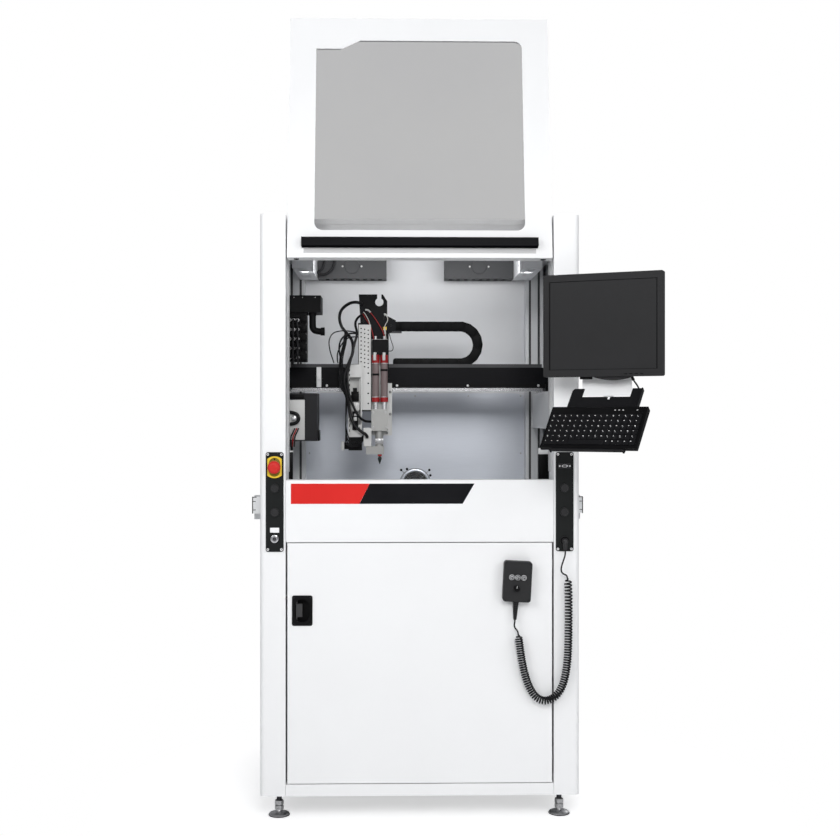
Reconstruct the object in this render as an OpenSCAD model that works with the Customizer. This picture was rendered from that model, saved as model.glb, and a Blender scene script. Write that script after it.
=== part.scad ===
// Conformal coating machine: a free-standing in-line cell with a lift-up window, a gantry
// with a dispensing head, a board conveyor, a service cabinet and an operator's screen.
// X runs to the right, Y to the rear, Z up. Lengths are millimetres. Heights are counted from
// a datum level just below the covers; the feet are screwed out below it by foot_reach.

/* [Body] */
// Overall width across the two column covers
body_w = 985; // [940:5:1180]
// Overall depth from the front plane to the rear panel
body_d = 1000; // [960:10:1200]
// Height of the column covers' upper ends above the datum
body_h = 1841; // [1841:1:2210]
// Height of the lower edge of the covers above the datum
base_z = 50; // [45:1:60]
// Width of each column cover
column_w = 79; // [76:1:95]
// Depth of each column cover
column_d = 120; // [118:1:140]
// Radius of the outer front edge of a column cover
column_edge_r = 16; // [6:1:20]
// Thickness of the sheet metal covers
sheet_t = 2; // [1.5:0.1:2.4]

/* [Frame] */
// Width of the frame tubes seen from the front
post_w = 60; // [40:1:62]
// Depth of the frame tubes
post_d = 50; // [40:1:60]
// Wall of the frame tubes
tube_t = 3; // [2:0.5:5]
// Height of the work level, where the chamber deck lies
deck_z = 840; // [800:5:840]
// Distance from the front plane to the chamber's rear wall
chamber_d = 850; // [790:5:900]
// Width of the slotted posts in the chamber's rear corners
chamber_post_w = 66; // [50:1:70]

/* [Front] */
// Height of the lower edge of the service door
door_z0 = 89; // [86:1:110]
// Thickness of the service door
door_t = 22; // [20:1:24]
// Gap round the service door and the fixed front panel
door_gap = 3; // [2:0.5:5]
// Height of the fixed front panel
front_panel_h = 191; // [150:1:200]
// Clearance between a door's sides and the columns
side_gap = 6; // [5:0.5:8]

/* [Window] */
// Height of the lift-up window, measured along its face
window_h = 790; // [700:5:790]
// Thickness of the window's frame
window_t = 30; // [24:1:32]
// Lean of the raised window from the vertical
window_lean = 9.9; // [4:0.1:11]
// Travel of the window's pivots
window_travel = 666; // [500:1:700]
// Width of the window's side borders
pane_side = 83; // [50:1:110]
// Height of the window's upper border
pane_top = 75; // [50:1:110]
// Height of the window's lower border
pane_bottom = 88; // [80:1:120]
// Corner radius of the pane opening
pane_r = 25; // [5:1:40]
// Thickness of the clear pane
pane_t = 5; // [3:0.5:8]
// Length of the pull handle
handle_l = 726; // [300:2:760]

/* [Gantry] */
// Height of the cross beam
beam_h = 70; // [50:1:80]
// Depth of the cross beam
beam_d = 60; // [40:1:80]
// Height of the cross beam's lower face
beam_z = 1316; // [1250:1:1330]
// Distance from the front plane to the cross beam's front face
beam_y = 430; // [400:5:460]
// Centre of the dispensing head, to the left of the middle
head_x = -150; // [-180:1:-100]
// Outer diameter of the cable chain's bend
chain_bend = 158; // [120:1:180]
// Height of the cable chain's links
chain_h = 33; // [20:1:36]

/* [Conveyor] */
// Overall length of the conveyor rails
conveyor_l = 1104; // [1090:2:1300]
// Height of the conveyor rails' upper edge
conveyor_z = 951; // [940:1:965]
// Height of the conveyor rails
conveyor_h = 80; // [70:1:82]
// Distance between the two rails at rest
conveyor_gap = 215; // [150:5:220]

/* [Screen] */
// Width of the screen's case
screen_w = 364; // [300:1:445]
// Height of the screen's case
screen_h = 306; // [250:1:315]
// Height of the screen's centre above the datum
screen_z = 1488; // [1480:1:1600]
// Angle by which the screen faces the middle of the machine
screen_yaw = 25; // [0:1:30]
// Width of the keyboard
keyboard_w = 290; // [200:1:300]
// Depth of the keyboard
keyboard_d = 150; // [110:1:150]
// Slope of the keyboard from the level
keyboard_slope = 48; // [20:1:55]
// Angle by which the keyboard faces the middle of the machine
keyboard_yaw = 31; // [10:1:35]

/* [Feet] */
// Diameter of a levelling foot
foot_d = 65; // [50:1:80]
// Diameter of a levelling foot's stud
stud_d = 16; // [12:1:20]
// Distance of a foot's centre from the middle plane
foot_x = 440; // [436:1:450]
// Distance by which the feet are screwed out below the datum
foot_reach = 32; // [12:1:40]

/* [Hidden] */
$fn = 48;

white = [0.93, 0.93, 0.92];
pale = [0.80, 0.81, 0.82];
steel = [0.62, 0.63, 0.65];
dark = [0.30, 0.31, 0.33];
black = [0.06, 0.06, 0.07];
red = [0.78, 0.10, 0.10];
yellow = [0.95, 0.80, 0.10];

// Clearances: a pin in its bore, a roller in its groove, a moving face beside a fixed one
pin_gap = 0.05;
groove_gap = 0.5;
face_gap = 0.3;

half_w = body_w / 2;
column_in = half_w - column_w;
skin_in = half_w - sheet_t;
post_out = skin_in - 1.5;
post_in = post_out - post_w;
post_y = 56;
rear_y = body_d - sheet_t - 3 - post_d;
frame_z0 = base_z + 12;
frame_top = body_h - 6;
chamber_post_in = column_in - 3.5;
chamber_post_y = chamber_d - 60;

door_half = column_in - side_gap;
door_z1 = deck_z - 12;
panel_z0 = door_z1 + door_gap;
panel_z1 = panel_z0 + front_panel_h;

// The window turns about pivots behind it, which run up the guides
window_half = column_in - 4.5;
pivot_y = 90;
pivot_up = 40;
window_z0 = panel_z1 + 2;
pivot_low = window_z0 + pivot_up;
pivot_z = pivot_low + window_travel;
roller_up = 70;
roller_r = 6;
pivot_pin_r = 5;
guide_x = column_in - 3;
guide_mid = column_in + 5;
ear_x = guide_x - 4.5;
ear_t = 10;

// The roof's front edge stays behind the raised window, and the front tube under the roof
roof_gap = 32;
roof_front = pivot_y + (frame_top + sheet_t - pivot_z) * tan(window_lean)
    - (pivot_y - window_t) / cos(window_lean) + roof_gap;
roof_lip = 14;
top_tube_y = max(column_d, roof_front + 40);

// Service door pivot, behind the door's front edge
hinge_inset = 4;
hinge_x = door_half - hinge_inset;
hinge_y = 8;
hinge_pin_r = 3;

// Control plates, one on each column
plate_w = 54.5;
plate_h = 306;
plate_z = 955;
plate_t = 3;
plate_x = half_w - 46;
estop_z = 1062;
plug_zs = [997, 923];
key_z = 842;
usb_z = 1065;
socket_z = 834;

// Gantry: side beams with rails, carriages on them
side_beam_w = 40;
side_beam_h = 125;
side_beam_x = skin_in - 14.5 - side_beam_w;
rail_w = 15;
rail_h = 14;
side_rail_z = beam_z - rail_h;
carriage_l = 90;
carriage_w = 34;
carriage_h = 24;
beam_half = side_beam_x + 4;
x_rail_w = 8;
x_rail_y = beam_y + 1;
x_rail_h = 12;

// Head: its carriage plate's front face, and the face that the valve is fixed to
head_face_y = beam_y - 34;
head_plate_w = 104;
head_plate_t = 10;
head_plate_drop = 80;
head_plate_rise = 150;
valve_y = -14;
valve_drop = 73;

// Cable chain, lying on the beam
chain_y = beam_y + 14;
chain_w = 34;
chain_link = 22;
chain_z0 = beam_z + beam_h + 0.7;
chain_z1 = chain_z0 + chain_bend;
chain_end_x = head_x + 76;
chain_bend_x = 227 - chain_bend / 2;

// Exhaust spigot in the roof, over the chamber
exhaust_y = chamber_d - 150;
exhaust_r = 75;

// Fan low in the chamber's rear wall
fan_z = deck_z + 124;
fan_r = 56;
fan_w = 119;

// Service door's latch and hinges
latch_x = 51.5 - column_in;
latch_z = 621;
latch_shaft_x = -18;
latch_shaft_y = 6;
latch_shaft_r = 3;
latch_reach = column_in - 1;
hinge_zs = [door_z0 + 70, (door_z0 + door_z1) / 2, door_z1 - 70];

// Conveyor: front rail, cross bars and drive shaft
conveyor_y = 380;
conveyor_t = 25;
bar_r = 10;
bar_z = conveyor_z - 58;
bar_x = column_in - 33.5;
bar_y0 = conveyor_y - 40;
bar_y1 = conveyor_y + conveyor_gap + conveyor_t + 125;
shaft_r = 8;
shaft_x = 300;
shaft_z = conveyor_z - 45;
belt_r = 14;
belt_w = 16;

// The screen hangs on a mast, which an arm carries from the right column
arm_x = half_w - 39.5;
arm_y = -32;
arm_z = screen_z - 71;
mast_x = arm_x + 110;
mast_y = arm_y - 80;
mast_r = 15;
arm_pin_r = 6;
arm_h = 30;
tilt_y = -30;
tray_x = mast_x - 33;
tray_y = mast_y - 154;
tray_z = screen_z - 253;
tray_left = 120;
tray_right = 100;
tray_rise = 8;
tray_t = 3;
tray_back = 43;
tab_back = 76;
tab_w = 36;
key_shift = -8;
key_back = 11.5;

// Pendant on the service door
pendant_x = 298;
pendant_z = 712;
pendant_w = 86;
pendant_h = 124;
pendant_t = 30;
pendant_y = -4;
pendant_lean = 3;
switch_pitch = 18.5;
switch_r = 5;
knob_r = 9;
relief_x = -1;
relief_l = 56;
relief_end = pendant_point(relief_x, -pendant_h / 2 - relief_l - face_gap);

// Curly cord: its route hangs in front of the service door
lead_d = 6;
curl_d = 25;
top_lead = [
    [plate_x, -16, 805.7], [plate_x, -16, 798], [445, -17, 788], [440, -19, 774],
    [435, -21, 760], [433, -22, 748], [436, -22, 738], [443, -22, 733], [449, -22, 730],
    [452, -22, 722.8]
];
curl_route = [
    [452, -22, 722], [455, -22, 690], [456, -22, 640], [456, -22, 580], [455, -22, 520],
    [452, -22, 465], [444, -22, 415], [430, -22, 378], [408, -22, 354], [382, -22, 346],
    [357, -22, 356], [338, -22, 382], [324, -22, 418], [314, -22, 460], [307, -22, 505],
    [301, -22, 550]
];
bottom_lead = [
    relief_end, relief_end + [-0.5, 0, -8], [289, -20, 577], [292, -21, 568],
    [297, -22, 562], [300, -22, 556], [300.9, -22, 550.7]
];

// Middle of the footprint of everything that stands out, for the origin on the floor
conveyor_half = conveyor_l / 2;
screen_right = mast_x + cos(screen_yaw) * (screen_w / 2 - 5) + sin(screen_yaw) * -40;
tray_front = tray_y - sin(keyboard_yaw) * (keyboard_w / 2 + key_shift)
    - cos(keyboard_yaw) * ((keyboard_d + key_back) * cos(keyboard_slope)
        + (tray_rise + tray_t + 12) * sin(keyboard_slope));
plan_x = (screen_right - conveyor_half) / 2;
plan_y = (body_d + tray_front) / 2;

// A place on the leaning pendant's middle plane, from the pendant's centre
function pendant_point(x, z) = [
    pendant_x + x * cos(pendant_lean) + z * sin(pendant_lean),
    pendant_y - pendant_t / 2,
    pendant_z - x * sin(pendant_lean) + z * cos(pendant_lean)
];

module placed() {
    translate([-plan_x, -plan_y, foot_reach]) children();
}

// A piece drawn on the right is repeated on the left
module both_sides() {
    children();
    mirror([1, 0, 0]) children();
}

// A flat outline in X and Z, given depth along Y from a front face
module depth(y0, t) {
    translate([0, y0 + t, 0]) rotate([90, 0, 0]) linear_extrude(height = t) children();
}

// A flat outline in Y and Z, given a length along X from x0
module across(x0, l) {
    translate([x0, 0, 0]) rotate([90, 0, 90]) linear_extrude(height = l) children();
}

module round_plate(w, h, r) {
    square([w - 2 * r, h], center = true);
    square([w, h - 2 * r], center = true);
    for (x = [-1, 1], y = [-1, 1])
        translate([x * (w / 2 - r), y * (h / 2 - r)]) circle(r = r);
}

// A slot between two points, round at both ends
module slot(a, b, r) {
    l = norm(b - a);
    translate(a) circle(r = r);
    translate(b) circle(r = r);
    translate(a) rotate(atan2(b[1] - a[1], b[0] - a[0])) translate([0, -r]) square([l, 2 * r]);
}

function arc(c, r, a0, a1, n) =
    [for (i = [0:n]) c + r * [cos(a0 + (a1 - a0) * i / n), sin(a0 + (a1 - a0) * i / n)]];

// Tube along a route: rings of points square to the route, joined by quads
function unit(v) = v / norm(v);
function heading(p, i) =
    unit(p[min(i + 1, len(p) - 1)] - p[max(i - 1, 0)]);
function side_of(t) = unit(cross(t, abs(t[1]) < 0.9 ? [0, 1, 0] : [1, 0, 0]));
function ring(p, i, r, n) =
    let (t = heading(p, i), u = side_of(t), w = cross(t, u))
    [for (k = [0:n - 1]) p[i] + r * (cos(360 * k / n) * u + sin(360 * k / n) * w)];
module tube(p, r, n) {
    m = len(p);
    points = [for (i = [0:m - 1]) each ring(p, i, r, n)];
    walls = [for (i = [0:m - 2], k = [0:n - 1])
        [i * n + k, i * n + (k + 1) % n, (i + 1) * n + (k + 1) % n, (i + 1) * n + k]];
    start = [for (k = [0:n - 1]) n - 1 - k];
    end = [for (k = [0:n - 1]) (m - 1) * n + k];
    polyhedron(points = points, faces = concat(walls, [start, end]), convexity = 6);
}

// Points between the route's own points, on a smooth curve through them
function bend(p, i, s) =
    let (a = p[max(i - 1, 0)], b = p[i], c = p[i + 1], d = p[min(i + 2, len(p) - 1)])
    0.5 * ((2 * b) + (c - a) * s + (2 * a - 5 * b + 4 * c - d) * s * s
        + (3 * b - a - 3 * c + d) * s * s * s);
function smooth(p, n) =
    concat([for (i = [0:len(p) - 2], k = [0:n - 1]) bend(p, i, k / n)], [p[len(p) - 1]]);

// Square tube from a corner, hollow along one axis
module box_tube(from, size, axis) {
    inner = [for (i = [0:2]) i == axis ? size[i] + 2 : size[i] - 2 * tube_t];
    shift = [for (i = [0:2]) i == axis ? -1 : tube_t];
    translate(from) difference() {
        cube(size);
        translate(shift) cube(inner);
    }
}

module welded_frame() placed() color(pale) {
    mid_z = deck_z - post_d;
    top_z = frame_top - post_d;
    both_sides() {
        for (y = [post_y, rear_y])
            box_tube([post_in, y, frame_z0], [post_w, post_d, frame_top - frame_z0], 2);
        for (z = [frame_z0, mid_z, top_z])
            box_tube([post_in, post_y + post_d, z],
                [post_w, rear_y - post_y - post_d, post_d], 1);
        // Corner plates that take the levelling feet
        for (y = [post_y, rear_y])
            translate([0, 0, frame_z0 - 8]) linear_extrude(height = 8) difference() {
                translate([foot_x - 30, y - 5]) square([post_out - foot_x + 30, post_d + 5]);
                translate([foot_x, y + post_d / 2]) circle(d = stud_d + 2 * pin_gap);
            }
    }
    for (y = [post_y, rear_y], z = [frame_z0, mid_z])
        box_tube([-post_in, y, z], [2 * post_in, post_d, post_d], 0);
    box_tube([-post_in, top_tube_y, top_z], [2 * post_in, post_d, post_d], 0);
    box_tube([-post_in, rear_y, top_z], [2 * post_in, post_d, post_d], 0);
    box_tube([-post_in, chamber_post_y, mid_z], [2 * post_in, post_d, post_d], 0);
}

// Slotted aluminium posts in the chamber's rear corners
module chamber_posts() placed() color(pale) both_sides()
    translate([chamber_post_in, chamber_post_y, deck_z + 3])
        linear_extrude(height = frame_top - post_d - deck_z - 3) difference() {
            square([chamber_post_w, 60]);
            for (x = [chamber_post_w * 0.25, chamber_post_w * 0.75]) {
                translate([x - 4, -1]) square([8, 8]);
                translate([x - 8, 5]) square([16, 5]);
            }
        }

// Bent cover over a front post, open at the back, with a rounded outer edge
module column_cover() {
    r = column_edge_r;
    linear_extrude(height = body_h - base_z) difference() {
        union() {
            translate([column_in, 0]) square([column_w - r, column_d]);
            translate([column_in, r]) square([column_w, column_d - r]);
            translate([half_w - r, r]) circle(r = r);
        }
        translate([column_in + sheet_t, sheet_t])
            square([column_w - sheet_t - r, column_d]);
        translate([column_in + sheet_t, r]) square([column_w - 2 * sheet_t, column_d]);
        translate([half_w - r, r]) circle(r = r - sheet_t);
    }
    translate([0, 0, body_h - base_z - sheet_t]) linear_extrude(height = sheet_t)
        translate([column_in + 1, 1]) square([column_w - r, column_d - 1]);
}

module cover_cuts() {
    // Opening for the window's guide block
    translate([column_in - 1, 75, pivot_low - 21])
        cube([sheet_t + 2, column_d - 78, pivot_z - pivot_low + roller_up + 34]);
    // Room behind the control plate
    translate([plate_x - 18, -1, plate_z - 138]) cube([36, sheet_t + 2, 276]);
    // Notches for the frame's cross tubes and foot plates
    for (z = [frame_z0 - 9, deck_z - post_d - 1])
        translate([column_in - 1, post_y - 6, z]) cube([sheet_t + 2, column_d, post_d + 10]);
}

module column_cover_right() placed() color(white) difference() {
    translate([0, 0, base_z]) column_cover();
    cover_cuts();
}

module column_cover_left() placed() color(white) mirror([1, 0, 0]) difference() {
    translate([0, 0, base_z]) column_cover();
    cover_cuts();
    // Keeper slot for the door's latch tongue
    translate([column_in - 1, 3, latch_z + 34]) cube([sheet_t + 2, 28, 16]);
}

// Side walls with the slots that boards pass through
module side_panels() placed() color(white) both_sides() {
    slot_y = [conveyor_y - 50, conveyor_y + conveyor_gap + 190];
    difference() {
        across(half_w - 16, 16) translate([column_d + 1, base_z])
            square([body_d - sheet_t - column_d - 1, body_h - base_z]);
        across(half_w - 17, 17 - sheet_t) translate([column_d, base_z + sheet_t])
            square([body_d - 2 * sheet_t - column_d - 1, body_h - base_z - 2 * sheet_t]);
        translate([half_w - 20, slot_y[0], conveyor_z - conveyor_h - 20])
            cube([40, slot_y[1] - slot_y[0], conveyor_h + 45]);
    }
}

module rear_panel() placed() color(white) difference() {
    translate([-half_w, body_d - sheet_t, base_z])
        cube([body_w, sheet_t, body_h - base_z]);
    for (row = [0:7], x = [-260, 260])
        translate([x - 90, body_d - sheet_t - 1, 230 + 26 * row])
            cube([180, sheet_t + 2, 9]);
}

module roof_panel() placed() color(white) {
    translate([0, 0, frame_top]) linear_extrude(height = sheet_t) difference() {
        translate([-skin_in + 16, roof_front])
            square([2 * (skin_in - 16), body_d - sheet_t - roof_front]);
        both_sides() translate([column_in - 1, 0]) square([column_w, column_d + 1]);
        translate([0, exhaust_y]) circle(r = exhaust_r - 4);
    }
    translate([1 - column_in, roof_front, frame_top - roof_lip])
        cube([2 * column_in - 2, sheet_t, roof_lip]);
}

// Spigot that the extraction hose slides over
module exhaust_collar() placed() color(steel)
    translate([0, exhaust_y, frame_top + sheet_t]) {
        difference() {
            union() {
                cylinder(r = exhaust_r + 18, h = 3);
                cylinder(r = exhaust_r, h = 70);
            }
            translate([0, 0, -1]) cylinder(r = exhaust_r - 2, h = 72);
            for (a = [45:90:315]) rotate(a) translate([exhaust_r + 10, 0, -1])
                cylinder(r = 2.6, h = 5);
        }
    }

// Cabinet floor and front apron, bent from one sheet
module base_pan() placed() color(white)
    across(1 - column_in, 2 * column_in - 2) polygon([
        [0, base_z], [sheet_t, base_z], [sheet_t, door_z0 - 3 - sheet_t],
        [post_y, door_z0 - 3 - sheet_t], [post_y, frame_z0 + post_d],
        [body_d - 5, frame_z0 + post_d], [body_d - 5, frame_z0 + post_d + sheet_t],
        [post_y - sheet_t, frame_z0 + post_d + sheet_t], [post_y - sheet_t, door_z0 - 3],
        [0, door_z0 - 3]
    ]);

// Fixed panel between the window and the service door, a pan with deep returns
module front_panel() placed() color(white)
    across(1 - column_in, 2 * column_in - 2) polygon([
        [0, panel_z0], [post_y, panel_z0], [post_y, panel_z0 + sheet_t],
        [sheet_t, panel_z0 + sheet_t], [sheet_t, panel_z1 - sheet_t],
        [post_y - 6, panel_z1 - sheet_t], [post_y - 6, panel_z1 - 24],
        [post_y - 4, panel_z1 - 24], [post_y - 4, panel_z1], [0, panel_z1]
    ]);

module chamber_deck() placed() color(pale) translate([0, 0, deck_z])
    linear_extrude(height = 3) difference() {
        translate([-skin_in + 16, post_y]) square([2 * (skin_in - 16), chamber_d - post_y]);
        both_sides() translate([column_in - 1, 0]) square([column_w, post_y + post_d + 15]);
    }

module chamber_wall() placed() color(pale) difference() {
    translate([-skin_in + 16, chamber_d, deck_z])
        cube([2 * (skin_in - 16), sheet_t, frame_top - deck_z]);
    translate([0, chamber_d - 1, fan_z]) rotate([-90, 0, 0]) cylinder(r = fan_r, h = 10);
    both_sides() translate([post_in - 1, chamber_d - 1, frame_top - post_d - 1])
        cube([post_w + 2, 4, post_d + 2]);
}

// Extraction boxes in the chamber's upper rear corner and ducts along its sides
module air_ducts() placed() color(dark) both_sides() {
    rear_box = [254, 90, 106];
    duct_w = post_in - 1 - 363;
    difference() {
        translate([108, chamber_d - rear_box[1], frame_top - rear_box[2]]) cube(rear_box);
        translate([235, chamber_d - rear_box[1] - 1, frame_top - 62]) rotate([-90, 0, 0])
            cylinder(r = 28, h = 30);
        for (x = [125:28:345])
            translate([x, chamber_d - 60, frame_top - rear_box[2] - 1]) cube([14, 40, 12]);
    }
    difference() {
        translate([363, 420, frame_top - 109]) cube([duct_w, chamber_post_y - 421, 109]);
        for (y = [450:40:700])
            translate([363 + duct_w / 2 - 15, y, frame_top - 110]) cube([30, 20, 12]);
    }
}

module fan_housing() placed() color(black) translate([0, chamber_d + sheet_t, fan_z])
    rotate([-90, 0, 0]) {
        linear_extrude(height = 38) difference() {
            round_plate(fan_w, fan_w, 8);
            circle(r = fan_r);
            for (x = [-1, 1], y = [-1, 1]) translate([x * 52.5, y * 52.5]) circle(r = 2.2);
        }
        // Spider that carries the motor
        translate([0, 0, 34]) linear_extrude(height = 4) intersection() {
            circle(r = fan_r + 1);
            union() {
                circle(r = 19);
                for (a = [45:90:315]) rotate(a) translate([0, -3]) square([fan_r + 1, 6]);
            }
        }
        translate([0, 0, 28]) cylinder(r = 4, h = 7);
    }

module fan_rotor() placed() color(dark) translate([0, chamber_d + sheet_t, fan_z])
    rotate([-90, 0, 0]) difference() {
        union() {
            translate([0, 0, 6]) cylinder(r = 20, h = 27);
            for (i = [0:6]) rotate(i * 360 / 7) translate([18, 0, 19]) rotate([38, 0, 0])
                translate([0, -13, -1]) cube([34, 26, 2]);
        }
        translate([0, 0, 26]) cylinder(r = 4 + pin_gap, h = 8);
    }

// Feet: a flat pad with a ball neck, a stud into the corner plate and its nuts
module levelling_feet() placed() color(steel)
    for (x = [-foot_x, foot_x], y = [post_y + post_d / 2, rear_y + post_d / 2])
        translate([x, y, -foot_reach]) {
            rotate_extrude($fn = 64) polygon([
                [0, 0], [foot_d / 2 - 1, 0], [foot_d / 2, 1], [foot_d / 2, 5],
                [foot_d / 2 - 2, 7], [16, 9], [stud_d / 2 + 1.5, 14], [stud_d / 2 - 1, 19], [0, 19]
            ]);
            for (z = [18, 34]) translate([0, 0, z]) cylinder(d = 28, h = 13, $fn = 6);
            cylinder(d = stud_d - 2, h = frame_z0 + foot_reach);
            translate([0, 0, 47]) cylinder(d = stud_d, h = frame_z0 + foot_reach - 47);
            translate([0, 0, frame_z0 + foot_reach - 8 - 12]) cylinder(d = 26, h = 12, $fn = 6);
        }

module control_plates() placed() color(black) {
    depth(-plate_t, plate_t) difference() {
        translate([-plate_x, plate_z]) round_plate(plate_w, plate_h, 7);
        for (z = [estop_z, plug_zs[0], plug_zs[1]])
            translate([-plate_x, z]) circle(r = 11 + pin_gap);
        translate([-plate_x, key_z]) circle(r = 9.6);
    }
    depth(-plate_t, plate_t) difference() {
        translate([plate_x, plate_z]) round_plate(plate_w, plate_h, 7);
        for (z = plug_zs) translate([plate_x, z]) circle(r = 11 + pin_gap);
        translate([plate_x, usb_z]) square([20, 12], center = true);
        translate([plate_x, socket_z]) circle(r = 9.6);
    }
}

module estop_collar() placed() color(yellow) depth(-plate_t - 4, 4) difference() {
    translate([-plate_x, estop_z]) intersection() {
        circle(r = 33.5);
        square([44, 80], center = true);
    }
    translate([-plate_x, estop_z]) circle(r = 11 + pin_gap);
}

// A turned piece with its axis along Y, at a place on the front
module turned(x, y, z) {
    translate([x, y, z]) rotate([-90, 0, 0]) children();
}

module estop_stem() placed() color(dark) turned(-plate_x, -13, estop_z) {
    cylinder(r = 11, h = 46);
    translate([0, 0, -12]) cylinder(r = 8, h = 12);
}

module estop_head() placed() color(red) turned(-plate_x, -36, estop_z) difference() {
    rotate_extrude($fn = 64) polygon(concat(
        [[0, 0]],
        arc([8, 12], 12, -90, 0, 8),
        [[20, 16], [12, 22.7], [0, 22.7]]));
    translate([0, 0, 10]) cylinder(r = 8 + pin_gap, h = 20);
    for (i = [0:11]) rotate(i * 30) translate([21, 0, 8]) cylinder(r = 2, h = 9);
}

// Plugs, key lock body, data socket and cord socket, all held by the control plates
module plate_fittings() placed() {
    color(black) for (x = [-plate_x, plate_x], z = plug_zs)
        turned(x, -plate_t, z) difference() {
            union() {
                translate([0, 0, -4]) cylinder(r = 14, h = 4);
                cylinder(r = 11, h = 14);
            }
            translate([0, 0, -5]) cylinder(r = 9.5, h = 2.5);
        }
    color(steel) turned(-plate_x, -plate_t, key_z) difference() {
        union() {
            translate([0, 0, -6]) cylinder(r = 12, h = 6);
            cylinder(r = 9.5, h = 34);
        }
        translate([0, 0, -7]) cylinder(r = 6 + pin_gap, h = 36);
    }
    color(black) difference() {
        translate([plate_x - 19, -plate_t - 2, usb_z - 8]) cube([38, 2, 16]);
        translate([plate_x - 6.5, -plate_t - 3, usb_z - 3]) cube([13, 4, 6]);
    }
    color(dark) difference() {
        translate([plate_x - 8, -plate_t, usb_z - 4.5]) cube([16, 16, 9]);
        translate([plate_x - 6.5, -plate_t - 1, usb_z - 3]) cube([13, 13, 6]);
    }
    color(black) {
        turned(plate_x, -16, socket_z) {
            cylinder(r = 9.5, h = 30);
            translate([0, 0, 9]) cylinder(r = 14, h = 4);
            sphere(r = 9.5);
        }
        translate([plate_x, -16, 806]) cylinder(r1 = 5, r2 = 8.5, h = 28);
    }
}

module key_barrel() placed() color(steel) turned(-plate_x, -plate_t - 7, key_z)
    difference() {
        cylinder(r = 6, h = 30);
        translate([-4, -0.9, -1]) cube([8, 1.8, 5]);
    }

// Guide blocks: a straight groove for the pivot roller, a leaning one for the upper roller
module door_guides() placed() color(pale) both_sides() {
    low = [pivot_y, pivot_low];
    high = [pivot_y, pivot_z];
    lean_low = low + [0, roller_up];
    lean_high = high + roller_up * [sin(window_lean), cos(window_lean)];
    z0 = pivot_low - 20;
    z1 = lean_high[1] + 12;
    across(guide_mid, post_in - guide_mid) difference() {
        translate([76, z0]) square([column_d - 4 - 76, z1 - z0]);
        slot(low, high, roller_r + groove_gap);
    }
    across(guide_x, guide_mid - guide_x) difference() {
        translate([76, z0]) square([column_d - 4 - 76, z1 - z0]);
        slot(low, high, 3 + groove_gap);
        slot(lean_low, lean_high, roller_r + groove_gap);
    }
}

// Pivot pins with the rollers that run in the straight grooves
module door_shoes() placed() color(steel) both_sides()
    translate([0, pivot_y, pivot_z]) rotate([0, 90, 0]) {
        translate([0, 0, ear_x - ear_t - 3]) cylinder(r = 8, h = 2.7);
        translate([0, 0, ear_x - ear_t - 1]) cylinder(r = pivot_pin_r, h = ear_t + 4);
        translate([0, 0, ear_x + 2.5]) cylinder(r = 3, h = guide_mid - ear_x);
        translate([0, 0, guide_mid + 0.5]) cylinder(r = roller_r, h = 8.5);
    }

// The window is drawn upright about its pivots, then leaned back
module leaned() {
    translate([0, pivot_y, pivot_z]) rotate([-window_lean, 0, 0])
        translate([0, -pivot_y, -pivot_up]) children();
}

// Outline of the pane opening, grown by g, with the stepped corner at the upper left
function pane_outline(g) =
    let (
        x1 = window_half - pane_side + g, z0 = pane_bottom - g,
        z1 = window_h - pane_top + g, r = pane_r + g, step = 28, flat = 83, ramp = 56
    )
    concat(
        arc([x1 - r, z0 + r], r, -90, 0, 6),
        arc([x1 - r, z1 - r], r, 0, 90, 6),
        [[-x1 + flat + ramp, z1], [-x1 + flat, z1 - step], [-x1, z1 - step]],
        arc([-x1 + r, z0 + r], r, 180, 270, 6)
    );

module window_frame() placed() color(white) leaned() {
    difference() {
        depth(0, window_t) difference() {
            translate([-window_half, 0]) square([2 * window_half, window_h]);
            polygon(pane_outline(0));
        }
        // Hollow inside of the folded frame, open at the back
        depth(sheet_t, window_t) difference() {
            translate([sheet_t - window_half, sheet_t])
                square([2 * (window_half - sheet_t), window_h - 2 * sheet_t]);
            polygon(pane_outline(12));
        }
        // Rebate that the pane sits in
        depth(sheet_t, window_t) polygon(pane_outline(10));
    }
    // Ears behind the lower border, each with a pivot bore and an upper roller
    both_sides() translate([ear_x - ear_t, 0, 0]) {
        difference() {
            translate([0, sheet_t, sheet_t]) rotate([90, 0, 90]) linear_extrude(height = ear_t)
                polygon([
                    [0, 0], [window_t, 0], [pivot_y + 9, pivot_up - 16],
                    [pivot_y + 9, pivot_up + roller_up + 10], [pivot_y - 14, pivot_up + roller_up + 10],
                    [window_t, pivot_up + 20], [0, pivot_up + 20]
                ]);
            translate([-1, pivot_y, pivot_up]) rotate([0, 90, 0])
                cylinder(r = pivot_pin_r + pin_gap, h = ear_t + 2);
        }
        translate([ear_t - 1, pivot_y, pivot_up + roller_up]) rotate([0, 90, 0]) {
            cylinder(r = 4, h = 5.5);
            translate([0, 0, 5.5]) cylinder(r = roller_r, h = 7.5);
        }
    }
    // Stops under the lower edge
    for (x = [-381, 381]) translate([x, 14, -1.7]) cylinder(r = 8, h = 2);
}

module window_pane() placed() color([0.7, 0.72, 0.75, 0.6]) leaned()
    depth(sheet_t, pane_t) polygon(pane_outline(9.7));

// Pull handle: a hooked extrusion with a finger channel that opens downwards
module window_handle() placed() color(black) leaned()
    across(-handle_l / 2, handle_l) difference() {
        polygon([
            [0, 31], [-4, 31], [-4, 54], [-18, 54], [-18, 34], [-22, 31], [-24, 33],
            [-24, 56], [-20, 60], [0, 60]
        ]);
        for (z = [37:4:53]) translate([-24.6, z]) square([1.2, 1.6]);
    }

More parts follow.
